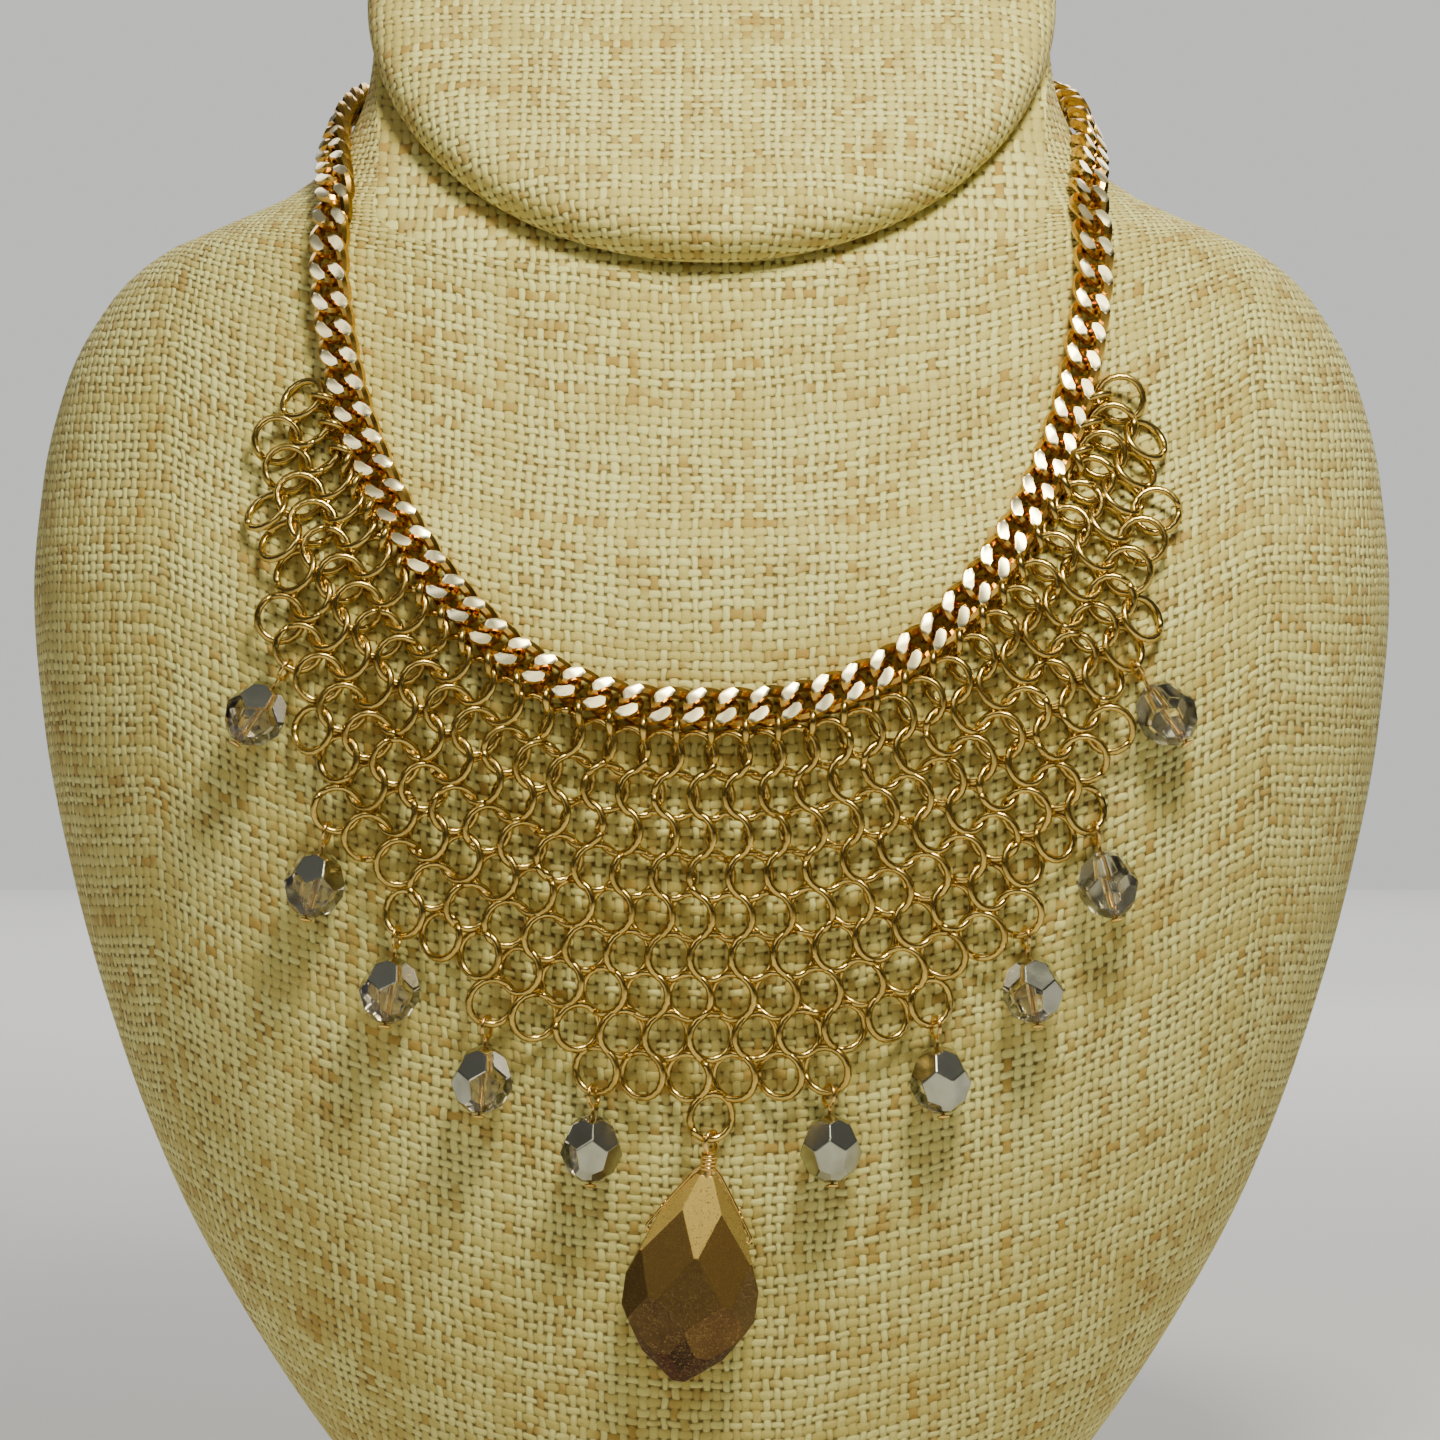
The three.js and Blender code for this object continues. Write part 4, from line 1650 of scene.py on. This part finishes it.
        def place(share: float, turn: float) -> Vector:
            """Point on the barrel's skin.

            Args:
                share: Share of the way along the barrel.
                turn: Share of the way round it.

            Returns:
                The point.
            """
            row = self.barrel[round(share * steps)]
            angle = FULL_TURN * turn
            spot = Vector((
                0,
                self.clasp_width / 2 * row.out * math.cos(angle),
                self.clasp_thickness / 2 * row.out * math.sin(angle),
            ))
            return self.frame_at(middle + row.along * half) @ spot

        parts = [Shaper.wrapped("barrel", steps, 28, place)]
        for side in Side:
            bpy.ops.mesh.primitive_torus_add(
                major_segments=20,
                minor_segments=8,
                major_radius=self.eye_radius,
                minor_radius=self.eye_wire / 2,
            )
            eye = bpy.context.active_object
            seat = self.frame_at(middle + side.value * (half + self.eye_reach))
            Shaper.moved(eye, seat @ Matrix.Rotation(math.radians(90), 4, "X"))
            parts.append(eye)
        piece = Shaper.joined("barrel_clasp", parts)
        Shaper.smooth(piece, 40)
        hand_over(piece, Slot.CHAIN, finish, ["clasp"])
        return piece


@dataclass
class RingBib:
    """Bib of linked rings: each ring hangs through the two above it, in fanned columns."""

    bust: Bust
    chain: CurbChain
    ring_outer: float = 8 * MM
    ring_wire: float = 1.18 * MM
    column_pitch: float = 4.95 * MM
    row_pitch: float = 5.9 * MM
    drop: float = 6.9 * MM
    tilt: float = 22.0
    fan_per_column: float = 2.2
    fan_growth: float = 0.0012
    saw_cut: float = 0.07 * MM
    rim_width: float = 0.8 * MM
    hook_outer: float = 4.8 * MM
    hook_rest: float = 0.15 * MM
    hook_sway: float = 9.0
    tilt_spread: float = 1.5
    around: int = 18
    sides: int = 5

    row_ends = (18.5, 18, 16.5, 14, 11.5, 10, 7.5, 5, 2.5, 0)

    def __post_init__(self) -> None:
        """Lays the first row's way below the chain."""
        self.lift = self.ring_outer / 2 * math.sin(math.radians(self.tilt)) + self.ring_wire / 2
        samples, spare = 40, 1.3
        reach = self.column_pitch * (self.row_ends[0] + 1) * spare
        points = []
        for i in range(samples + 1):
            way = reach * i / samples
            point = self.chain.route.at(way)
            along = self.chain.route.tangent(way)
            side = Vector((along.z, -along.x)).normalized()
            foot = self.bust.front_foot(point.x + side.x * self.drop, point.z + side.y * self.drop)
            spot = self.bust.lifted(foot, self.lift)
            spot.x = foot.x if i else 0.0
            points.append(spot)
        self.first_row = Route(points, closed=False)
        hole = (self.ring_outer - self.ring_wire) / 2 / self.row_pitch
        self.hook = hole + self.rim_width / 2 / self.row_pitch

    def foot(self, column: float, row: float) -> Vector:
        """Point of the bust under a ring.

        Args:
            column: Columns from the middle, to the right.
            row: Row from the top, where the first one is 1.

        Returns:
            The point.
        """
        side = -1 if column < 0 else 1
        columns = abs(column)
        start = self.first_row.at(columns * self.column_pitch)
        fan = math.radians(self.fan_per_column * columns + self.fan_growth * columns**3)
        down = (row - 1) * self.row_pitch
        x = side * (start.x + down * math.sin(fan))
        return self.bust.front_foot(x, start.z - down * math.cos(fan))

    def ring_frame(self, column: float, row: int, turn: float) -> Matrix:
        """Frame of a ring.

        Args:
            column: Columns from the middle, to the right.
            row: Row from the top, where the first one is 1.
            turn: Turn about the column, in degrees.

        Returns:
            Frame with x across the column, y up it and z off the bust, then turned.
        """
        foot = self.foot(column, row)
        up = (self.foot(column, row - 0.4) - self.foot(column, row + 0.4)).normalized()
        out = self.bust.normal(foot)
        out = (out - up * out.dot(up)).normalized()
        seat = framed(up.cross(out), up, out, self.bust.lifted(foot, self.lift))
        return seat @ Matrix.Rotation(math.radians(turn), 4, "Y")

    def pattern(self) -> bpy.types.Object:
        """Models one jump ring, sawn open at one place.

        Returns:
            The ring at the origin.
        """
        middle = (self.ring_outer - self.ring_wire) / 2
        opening = self.saw_cut / middle

        def place(share: float, turn: float) -> Vector:
            """Point on the ring's skin.

            Args:
                share: Share of the way round the ring.
                turn: Share of the way round the wire.

            Returns:
                The point.
            """
            angle = mix(opening / 2, FULL_TURN - opening / 2, share)
            reach = middle + self.ring_wire / 2 * math.cos(FULL_TURN * turn)
            height = self.ring_wire / 2 * math.sin(FULL_TURN * turn)
            return Vector((reach * math.cos(angle), reach * math.sin(angle), height))

        return Shaper.wrapped("jump_ring", self.around, self.sides, place)

    def ring_places(self) -> list[Matrix]:
        """Lays out the rings, row by row, each a little uneven.

        Returns:
            The frame of each ring.
        """
        draw = random.Random(5)
        places = []
        for number, end in enumerate(self.row_ends):
            row = number + 1
            side = 1 if row % 2 else -1
            column = -end
            while column <= end:
                turn = -side * (self.tilt + draw.uniform(-self.tilt_spread, self.tilt_spread))
                spin = Matrix.Rotation(draw.uniform(0, FULL_TURN), 4, "Z")
                places.append(self.ring_frame(column, row, turn) @ spin)
                column += 1
        return places

    def hook_places(self) -> list[Matrix]:
        """Lays out the small rings that hang the first row from the chain's links.

        Returns:
            The frame of each small ring.
        """
        draw = random.Random(9)
        middle_radius = (self.ring_outer - self.ring_wire) / 2
        crossing = math.sqrt(middle_radius**2 - (self.column_pitch / 2) ** 2)
        last = int(self.row_ends[0] - 0.5)
        ways = [number * self.chain.spacing for number in range(-30, 31)]
        places = []
        for column in range(-last, last + 1):
            below = self.foot(column, 1 - crossing / self.row_pitch)
            near = min(ways, key=lambda way: (self.chain.route.at(way) - below).length)
            above = self.chain.frame_at(near) @ Vector((0, -self.chain.half_length, 0))
            middle = (above + self.bust.lifted(below, self.lift)) / 2
            foot = self.bust.front_foot(middle.x, middle.z)
            out = self.bust.normal(foot)
            centre = self.bust.lifted(foot, self.hook_outer / 2 + self.hook_rest)
            up = (above - below).normalized()
            up = (up - out * up.dot(out)).normalized()
            turn = 90 + draw.uniform(-self.hook_sway, self.hook_sway)
            edge_on = Matrix.Rotation(math.radians(turn), 4, "Y")
            places.append(framed(up.cross(out), up, out, centre) @ edge_on)
        return places

    def rings(self, finish: bpy.types.Material) -> bpy.types.Object:
        """Makes the bib's rings and the small rings that hang it from the chain.

        Args:
            finish: Material of the rings.

        Returns:
            All the rings as one piece.
        """
        large = Shaper.copies("bib_rings", self.pattern(), self.ring_places(), 31)
        hook = self.pattern()
        middle = (self.ring_outer - self.ring_wire) / 2
        wanted = (self.hook_outer - self.ring_wire) / 2
        for vertex in hook.data.vertices:
            flat = Vector((vertex.co.x, vertex.co.y, 0))
            vertex.co -= flat.normalized() * (middle - wanted)
        small = Shaper.copies("hook_rings", hook, self.hook_places(), 32)
        piece = Shaper.joined("linked_rings", [large, small])
        Shaper.smooth(piece)
        hand_over(piece, Slot.RING, finish, ["mail_bib"])
        return piece


def hanging_frame(bust: Bust, origin: Vector, down: Vector, turn: float) -> Matrix:
    """Frame with z up along a hanging piece, and x turned from the bust's normal.

    Args:
        bust: The bust that the piece hangs in front of.
        origin: The piece's eye.
        down: Direction in which it hangs.
        turn: Turn about it, in degrees.

    Returns:
        The frame.
    """
    axis = -down.normalized()
    out = bust.normal(origin)
    out = (out - axis * out.dot(axis)).normalized()
    seat = framed(out, axis.cross(out), axis, origin)
    return seat @ Matrix.Rotation(math.radians(turn), 4, "Z")


@dataclass
class BeadRow:
    """Faceted glass beads on pins along the bib's edge."""

    bust: Bust
    bib: RingBib
    radius: float = 4.1 * MM
    half_length: float = 4.85 * MM
    facets: int = 6
    bore: float = 1.2 * MM
    drop: float = 7.9 * MM
    pin_wire: float = 0.6 * MM
    eye_radius: float = 1.6 * MM
    head_radius: float = 1.0 * MM
    head_thickness: float = 0.6 * MM
    eye_start: float = -78.0
    eye_sweep: float = 336.0
    eye_steps: int = 14
    neck_offset: float = 0.05 * MM
    neck_drop: float = 0.5 * MM
    stem_drop: float = 1.2 * MM
    blank_share: float = 1.4
    end_share: float = 1.04
    polish: float = 0.16 * MM
    gap: float = 0.3 * MM

    places = (
        BeadPlace(13, 4, 24, 0),
        BeadPlace(10, 6, 4, 0),
        BeadPlace(7.5, 7, 0, 5),
        BeadPlace(5, 8, 0, 15),
        BeadPlace(2.5, 9, 0, 25),
    )
    facet_rows = (FacetRow(34, 0), FacetRow(68, 0.5), FacetRow(112, 0), FacetRow(146, 0.5))
    silver_sides = (
        (0.2, -0.6, 0.8), (0.3, 0.5, 0.9), (0.5, -0.3, 0.8), (0.6, -0.5, 0.4), (0.4, 0.7, -0.2),
        (0.9, 0.0, -0.1), (0.8, 0.3, 0.3), (0.6, 0.5, 0.5), (-0.8, 0.1, 0.4), (-0.9, -0.2, -0.2),
    )
    silver_reach = (0.45, 0.45, 0.5, 0.4, 0.35, -0.1, 0.15, 0.3, 0.5, 0.55)

    def frame_of(self, place: BeadPlace, side: Side) -> Matrix:
        """Frame of a bead's eye, with the bead hanging down -z against the bust.

        Args:
            place: Where the bead hangs.
            side: The side of the bib.

        Returns:
            The frame.
        """
        foot = self.bib.foot(side.value * place.column, place.row + self.bib.hook)
        eye = self.bust.lifted(foot, self.bib.lift)
        tilt = math.radians(place.lean) * side.value
        bead_foot = self.bust.front_foot(
            eye.x + self.drop * math.sin(tilt), eye.z - self.drop * math.cos(tilt)
        )
        centre = self.bust.lifted(bead_foot, self.radius + 2 * self.gap)
        return hanging_frame(self.bust, eye, centre - eye, side.value * place.turn)

    def bead(self, name: str) -> bpy.types.Object:
        """Models one bead: a drilled block cut to facets, with its edges fire polished.

        Args:
            name: Name of the bead.

        Returns:
            The bead at the origin.
        """
        Shaper.deselect()
        bpy.ops.mesh.primitive_cylinder_add(
            vertices=24,
            radius=self.radius * self.blank_share,
            depth=self.half_length * 2,
            location=(0, 0, 0),
        )
        piece = bpy.context.active_object
        piece.name = name
        reach = self.radius * math.sqrt(math.cos(math.pi / self.facets))
        end = self.half_length * self.end_share
        cuts = []
        for row in self.facet_rows:
            slope = math.radians(row.place)
            support = math.hypot(reach * math.sin(slope), end * math.cos(slope))
            for number in range(self.facets):
                angle = FULL_TURN * (number + row.turn) / self.facets
                flat = math.sin(slope)
                facing = Vector((flat * math.sin(angle), flat * math.cos(angle), math.cos(slope)))
                cuts.append((facing * support, facing))
        Shaper.sliced(piece, cuts)
        Shaper.bevelled(piece, self.polish, 2)
        origin = Vector((0, 0, 0))
        Shaper.drilled(piece, self.bore / 2, self.half_length * 3, origin, origin)
        return piece

    def pin(self, name: str) -> bpy.types.Object:
        """Models one pin: a turned eye, a straight stem and a small flat head.

        Args:
            name: Name of the pin.

        Returns:
            The pin, with its eye at the origin.
        """
        start = math.radians(self.eye_start)
        sweep = math.radians(self.eye_sweep)
        points = []
        for step in range(self.eye_steps + 1):
            angle = start + sweep * (1 - step / self.eye_steps)
            points.append(Vector((math.cos(angle), 0, math.sin(angle))) * self.eye_radius)
        points.append(Vector((self.neck_offset, 0, -self.eye_radius - self.neck_drop)))
        top = -self.eye_radius - self.stem_drop
        bottom = -self.drop - self.half_length - self.gap
        points += [Vector((0, 0, mix(top, bottom, step / 4))) for step in range(5)]
        parts = [Shaper.wire("pin_wire", Route(points, closed=False), self.pin_wire / 2, 46, 8)]
        bpy.ops.mesh.primitive_uv_sphere_add(
            segments=16, ring_count=8, radius=self.head_radius, location=(0, 0, 0)
        )
        head = bpy.context.active_object
        squash = Matrix.Diagonal((1, 1, self.head_thickness / 2 / self.head_radius, 1))
        Shaper.moved(head, Matrix.Translation((0, 0, bottom - self.head_thickness / 2)) @ squash)
        parts.append(head)
        return Shaper.joined(name, parts)

    def silvered(self, piece: bpy.types.Object, number: int) -> None:
        """Gives the facets on one side of a bead their silver coat.

        Args:
            piece: The bead at the origin.
            number: Number of the bead, from 1.
        """
        toward = Vector(self.silver_sides[number - 1]).normalized()
        reach = self.silver_reach[number - 1]
        for face in piece.data.polygons:
            if face.normal.dot(toward) > reach and face.center.xy.length > self.bore * 0.6:
                face.material_index = 1

    def build(
        self, glass: bpy.types.Material, silver: bpy.types.Material, gold: bpy.types.Material
    ) -> None:
        """Makes the ten beads and their pins.

        Args:
            glass: Material of the clear facets.
            silver: Material of the silvered facets.
            gold: Material of the pins.
        """
        spots = [(place, Side.LEFT) for place in self.places]
        spots += [(place, Side.RIGHT) for place in reversed(self.places)]
        for number, (place, side) in enumerate(spots, start=1):
            seat = self.frame_of(place, side)
            bead = self.bead(f"faceted_bead_{number}")
            bead.data.materials.append(glass)
            bead.data.materials.append(silver)
            self.silvered(bead, number)
            Shaper.moved(bead, seat @ Matrix.Translation((0, 0, -self.drop)))
            Shaper.smooth(bead, FLAT_SHADED)
            hand_over(bead, Slot.GLASS, glass, [f"glass_bead_{number}"])
            pin = self.pin(f"head_pin_{number}")
            Shaper.moved(pin, seat)
            Shaper.smooth(pin, 50)
            hand_over(pin, Slot.RING, gold, [f"bead_pin_{number}"])


@dataclass
class Drop:
    """Faceted drop, and the wound wire that holds it."""

    bust: Bust
    bib: RingBib
    length: float = 30.6 * MM
    half_width: float = 9.9 * MM
    half_depth: float = 4.4 * MM
    lean: float = 8.0
    rest: float = 1 * MM
    bore_share: float = 0.3
    bore: float = 1.4 * MM
    bail_turn: float = 30.0
    bail_radius: float = 1.6 * MM
    bail_wire: float = 0.8 * MM
    coil_radius: float = 1.3 * MM
    coil_wire: float = 0.75 * MM
    coil_turns: int = 4
    strand_wire: float = 0.5 * MM
    strand_rest: float = 0.75 * MM
    twist_length: float = 1.6 * MM
    twist_turns: int = 2
    coil_start: float = 0.4
    coil_pack: float = 0.86
    coil_spare: float = 0.6
    coil_fill: float = 0.46
    core_fill: float = 0.85
    twist_reach: float = 0.75
    twist_fill: float = 0.28
    edge_round: float = 0.14 * MM
    gap: float = 0.3 * MM

    profile = tuple(ProfileRow(*row) for row in (
        (0, 0.14), (0.13, 0.42), (0.31, 0.75), (0.6, 1), (0.85, 0.64), (1, 0.1),
    ))
    facets = 6
    facet_rows = (
        FacetRow(0.17, 0),
        FacetRow(0.37, 0.5),
        FacetRow(0.58, 0),
        FacetRow(0.76, 0.5),
        FacetRow(0.89, 0),
        FacetRow(0.97, 0.5),
    )
    strand_shares = (0.0, 0.04, 0.1, 0.17, 0.24, 0.28)
    twist_starts = (0.36, 0.62)

    def __post_init__(self) -> None:
        """Works out the drop's outline and where it hangs."""
        places = [row.along for row in self.profile]
        self.reach_at = smooth_column(places, [row.out for row in self.profile])
        self.coil_length = self.coil_turns * self.coil_wire
        self.coil_top = self.coil_length + self.gap
        foot = self.bib.foot(0, len(self.bib.row_ends) + self.bib.hook)
        eye = self.bust.lifted(foot, self.bib.lift)
        tilt = math.radians(-self.lean)
        bail_to_top = self.coil_top + self.bail_radius
        middle_down = bail_to_top + self.length * 0.6
        back = self.bust.front_foot(
            eye.x + middle_down * math.sin(tilt), eye.z - middle_down * math.cos(tilt)
        )
        middle = self.bust.lifted(back, self.half_depth + self.rest)
        down = (middle - eye).normalized()
        out = self.bust.normal(back)
        out = (out + down * -out.dot(down)).normalized()
        self.seat = framed((-out).cross(-down), -out, -down, eye + down * bail_to_top)

    def skin(self, down: float, turn: float) -> Vector:
        """Point of the drop's oval form.

        Args:
            down: Share of the length, from the top.
            turn: Turn from the front, in radians.

        Returns:
            The point, with the top of the drop at the origin.
        """
        reach = self.reach_at(down)
        return Vector((
            self.half_width * reach * math.sin(turn),
            -self.half_depth * reach * math.cos(turn),
            -down * self.length,
        ))

    def facing(self, down: float, turn: float, step: float = 0.01) -> Vector:
        """Outward normal of the oval form.

        Args:
            down: Share of the length, from the top.
            turn: Turn from the front, in radians.
            step: Step over which the slopes are taken.

        Returns:
            The unit normal.
        """
        along = self.skin(down + step, turn) - self.skin(down - step, turn)
        return along.cross(self.skin(down, turn + step) - self.skin(down, turn - step)).normalized()

    def stone(self, finish: bpy.types.Material) -> bpy.types.Object:
        """Cuts the drop's facets and drills its side bore.

        Args:
            finish: Material of the coated stone.

        Returns:
            The drop in its place.
        """
        Shaper.deselect()
        bpy.ops.mesh.primitive_cube_add(size=2, location=(0, 0, 0))
        piece = bpy.context.active_object
        for vertex in piece.data.vertices:
            vertex.co.x *= self.half_width
            vertex.co.y *= self.half_depth
            vertex.co.z = (vertex.co.z - 1) / 2 * self.length
        cuts = []
        for row in self.facet_rows:
            for number in range(self.facets):
                turn = FULL_TURN * (number + row.turn) / self.facets
                cuts.append((self.skin(row.place, turn), self.facing(row.place, turn)))
        Shaper.sliced(piece, cuts)
        draw = random.Random(4)
        facets = piece.data.polygons
        # Random value per facet, which the coating's material uses for painted light and shade on that
        # facet.
        tones = piece.data.attributes.new("cut", "FLOAT", "FACE")
        tones.data.foreach_set("value", [draw.random() for _ in facets])
        # Share of the way down for each facet. The coating's material turns it into a colour that
        # darkens downwards, partly painted shade.
        down = piece.data.attributes.new("down", "FLOAT", "FACE")
        down.data.foreach_set("value", [-facet.center.z / self.length for facet in facets])
        Shaper.bevelled(piece, self.edge_round, 2)
        middle = Vector((0, 0, -self.bore_share * self.length))
        across = Vector((0, math.pi / 2, 0))
        Shaper.drilled(piece, self.bore / 2, self.half_width * 4, middle, across)
        piece.name = "faceted_drop"
        Shaper.moved(piece, self.seat)
        Shaper.smooth(piece, FLAT_SHADED)
        hand_over(piece, Slot.STONE, finish, ["drop_stone"])
        return piece

    def holder(self, finish: bpy.types.Material) -> bpy.types.Object:
        """Winds the drop's wire: a bail, a coil, and strands down to the bore at both sides.

        Args:
            finish: Material of the wire.

        Returns:
            The wire in its place.
        """
        Shaper.deselect()
        bpy.ops.mesh.primitive_torus_add(
            major_segments=28,
            minor_segments=8,
            major_radius=self.bail_radius,
            minor_radius=self.bail_wire / 2,
        )
        bail = bpy.context.active_object
        turned = Matrix.Rotation(math.radians(90 - self.bail_turn), 4, "Z")
        stand = turned @ Matrix.Rotation(math.pi / 2, 4, "X")
        Shaper.moved(bail, Matrix.Translation((0, 0, self.coil_top + self.bail_radius)) @ stand)
        parts = [bail]
        coil_steps = 16
        middle = self.coil_radius - self.coil_wire / 2
        turns = self.coil_turns + self.coil_spare
        rise = self.coil_length * self.coil_pack / (coil_steps * turns)
        coil = [
            Vector((
                middle * math.cos(FULL_TURN * step / coil_steps),
                middle * math.sin(FULL_TURN * step / coil_steps),
                self.gap + self.coil_wire * self.coil_start + rise * step,
            ))
            for step in range(int(coil_steps * turns) + 1)
        ]
        coil_way = Route(coil, closed=False, fineness=4)
        parts.append(Shaper.wire("coil", coil_way, self.coil_wire * self.coil_fill, 110, 8))
        core = [Vector((0, 0, self.coil_top * share)) for share in (-0.1, 0.4, 1.0)]
        parts.append(Shaper.wire("core", Route(core, closed=False), middle * self.core_fill, 6, 10))
        parts += self.strands()
        piece = Shaper.joined("wound_wire", parts)
        Shaper.moved(piece, self.seat)
        Shaper.smooth(piece, 60)
        hand_over(piece, Slot.CHAIN, finish, ["drop_wire"])
        return piece

    def strands(self) -> list[bpy.types.Object]:
        """Makes the strand that runs down each edge and into the bore, with small twists on it.

        Returns:
            The strands and their twists.
        """
        made = []
        for side in Side:
            out = side.value
            inside = self.coil_start
            points = [Vector((out * self.coil_radius * inside, 0, self.gap + self.coil_length * inside))]
            for share in self.strand_shares:
                reach = self.half_width * self.reach_at(share) + self.strand_rest
                points.append(Vector((out * reach, 0, -share * self.length)))
            depth = -self.bore_share * self.length
            mouth = self.half_width * self.reach_at(self.bore_share)
            points.append(Vector((out * mouth, 0, depth)))
            points.append(Vector((0, 0, depth)))
            route = Route(points, closed=False)
            made.append(Shaper.wire("strand", route, self.strand_wire / 2, 56, 8))
            made += [self.twist(route, route.length * start) for start in self.twist_starts]
        return made

    def twist(self, route: Route, start: float) -> bpy.types.Object:
        """Winds a thin wire round a stretch of a strand.

        Args:
            route: Way of the strand.
            start: Length along it where the winding starts.

        Returns:
            The wound wire.
        """
        steps = 12 * self.twist_turns
        reach = self.strand_wire * self.twist_reach
        front = Vector((0, 1, 0))
        points = []
        for step in range(steps + 1):
            way = start + self.twist_length * step / steps
            side = route.tangent(way).cross(front).normalized()
            angle = FULL_TURN * self.twist_turns * step / steps
            points.append(route.at(way) + (side * math.cos(angle) + front * math.sin(angle)) * reach)
        winding = Route(points, closed=False, fineness=4)
        return Shaper.wire("twist", winding, self.strand_wire * self.twist_fill, steps * 2, 6)


@dataclass
class Studio:
    """Pale floor, soft light and the camera at the photograph's angle."""

    camera_place: tuple[float, float, float] = (0.0013, -0.787, 0.1294)
    lens: float = 124.1
    floor_half: float = 3.0
    floor_dark: Colour = (0.74, 0.73, 0.71)
    floor_light: Colour = (0.78, 0.77, 0.75)
    backdrop: Colour = (0.72, 0.72, 0.71)

    lamps = (
        Lamp("overhead", (0.09, -0.29, 0.47), (0, 0, 0.15), 0.11, 2.75, (1.0, 0.98, 0.8)),
        Lamp("high_fill", (-0.45, -0.7, 0.8), (0, 0, 0.15), 0.4, 1.2, (1.0, 0.98, 0.9)),
        Lamp("back_rim", (0.5, 1.2, 0.9), (0, 0, 0.15), 0.9, 5.0, (1.0, 0.98, 0.95)),
        Lamp("floor_wash", (0, 2.2, 1.6), (0, 2.2, 0), 2.6, 60.0, (1.0, 1.0, 1.0)),
    )

    def floor(self) -> None:
        """Lays the pale floor."""
        Shaper.deselect()
        bpy.ops.mesh.primitive_grid_add(x_subdivisions=4, y_subdivisions=4, size=self.floor_half * 2)
        plane = bpy.context.active_object
        plane.name = "studio_floor"
        material, desk, shader = new_material("pale_floor")
        place = desk.add("ShaderNodeTexCoord").outputs["Object"]
        cloud = desk.noise(place, 3.0).outputs[0]
        desk.feed(shader.inputs["Base Color"], desk.blend(cloud, self.floor_dark, self.floor_light))
        shader.inputs["Roughness"].default_value = 0.85
        plane.data.materials.append(material)

    def world(self) -> None:
        """Sets a soft sky that is bright above and dim round the sides."""
        world = bpy.data.worlds.new("soft_studio")
        bpy.context.scene.world = world
        world.use_nodes = True
        tree = world.node_tree
        tree.nodes.clear()
        desk = NodeDesk(tree)
        split = desk.add("ShaderNodeSeparateXYZ")
        desk.feed(split.inputs[0], desk.add("ShaderNodeTexCoord").outputs["Generated"])
        glow = desk.ranged(split.outputs["Z"], -0.1, 0.9, 0.01, 0.13)
        seen = desk.add("ShaderNodeLightPath").outputs["Is Camera Ray"]
        colour = desk.blend(seen, desk.joined(glow, glow, glow), self.backdrop)
        background = desk.add("ShaderNodeBackground")
        desk.feed(background.inputs["Color"], colour)
        background.inputs["Strength"].default_value = 1.0
        output = desk.add("ShaderNodeOutputWorld")
        desk.feed(output.inputs["Surface"], background.outputs[0])

    def light(self, lamp: Lamp) -> None:
        """Adds one soft area light.

        Args:
            lamp: Its row of the table.
        """
        light = bpy.data.lights.new(lamp.name, "AREA")
        light.shape = "SQUARE"
        light.size = lamp.size
        light.energy = lamp.power
        light.color = lamp.colour
        holder = bpy.data.objects.new(lamp.name, light)
        holder.location = lamp.place
        toward = Vector(lamp.aim) - Vector(lamp.place)
        holder.rotation_euler = toward.to_track_quat("-Z", "Y").to_euler()
        bpy.context.scene.collection.objects.link(holder)

    def build(self) -> None:
        """Builds the floor, the light and the camera."""
        self.floor()
        self.world()
        for lamp in self.lamps:
            self.light(lamp)
        camera = bpy.data.cameras.new("front_camera")
        camera.sensor_width = 36.0
        camera.lens = self.lens
        camera.clip_start = 0.01
        holder = bpy.data.objects.new("front_camera", camera)
        holder.location = self.camera_place
        holder.rotation_euler = (math.pi / 2, 0, 0)
        bpy.context.scene.collection.objects.link(holder)
        bpy.context.scene.camera = holder


def main() -> None:
    """Builds the studio and every sub-assembly."""
    logging.basicConfig(level=logging.INFO, format="%(name)s: %(message)s")
    Studio().build()
    groups = Groups()
    cloth = ClothFinish().material(groups)
    ring_gold = RING_GOLD.material(groups)
    chain_gold = CHAIN_GOLD.material(groups)
    cut_gold_glint = CUT_GOLD_GLINT.material(groups)
    pin_gold = PIN_GOLD.material(groups)
    bust = Bust()
    bust.cover(cloth)
    bust.cap(cloth)
    chain = CurbChain(bust)
    chain.links(chain_gold, cut_gold_glint)
    chain.clasp(pin_gold)
    bib = RingBib(bust, chain)
    bib.rings(ring_gold)
    BeadRow(bust, bib).build(GlassFinish().material(groups), SILVER_COAT.material(groups), pin_gold)
    drop = Drop(bust, bib)
    drop.stone(StoneFinish().material(groups))
    drop.holder(pin_gold)


if __name__ == "__main__":
    main()
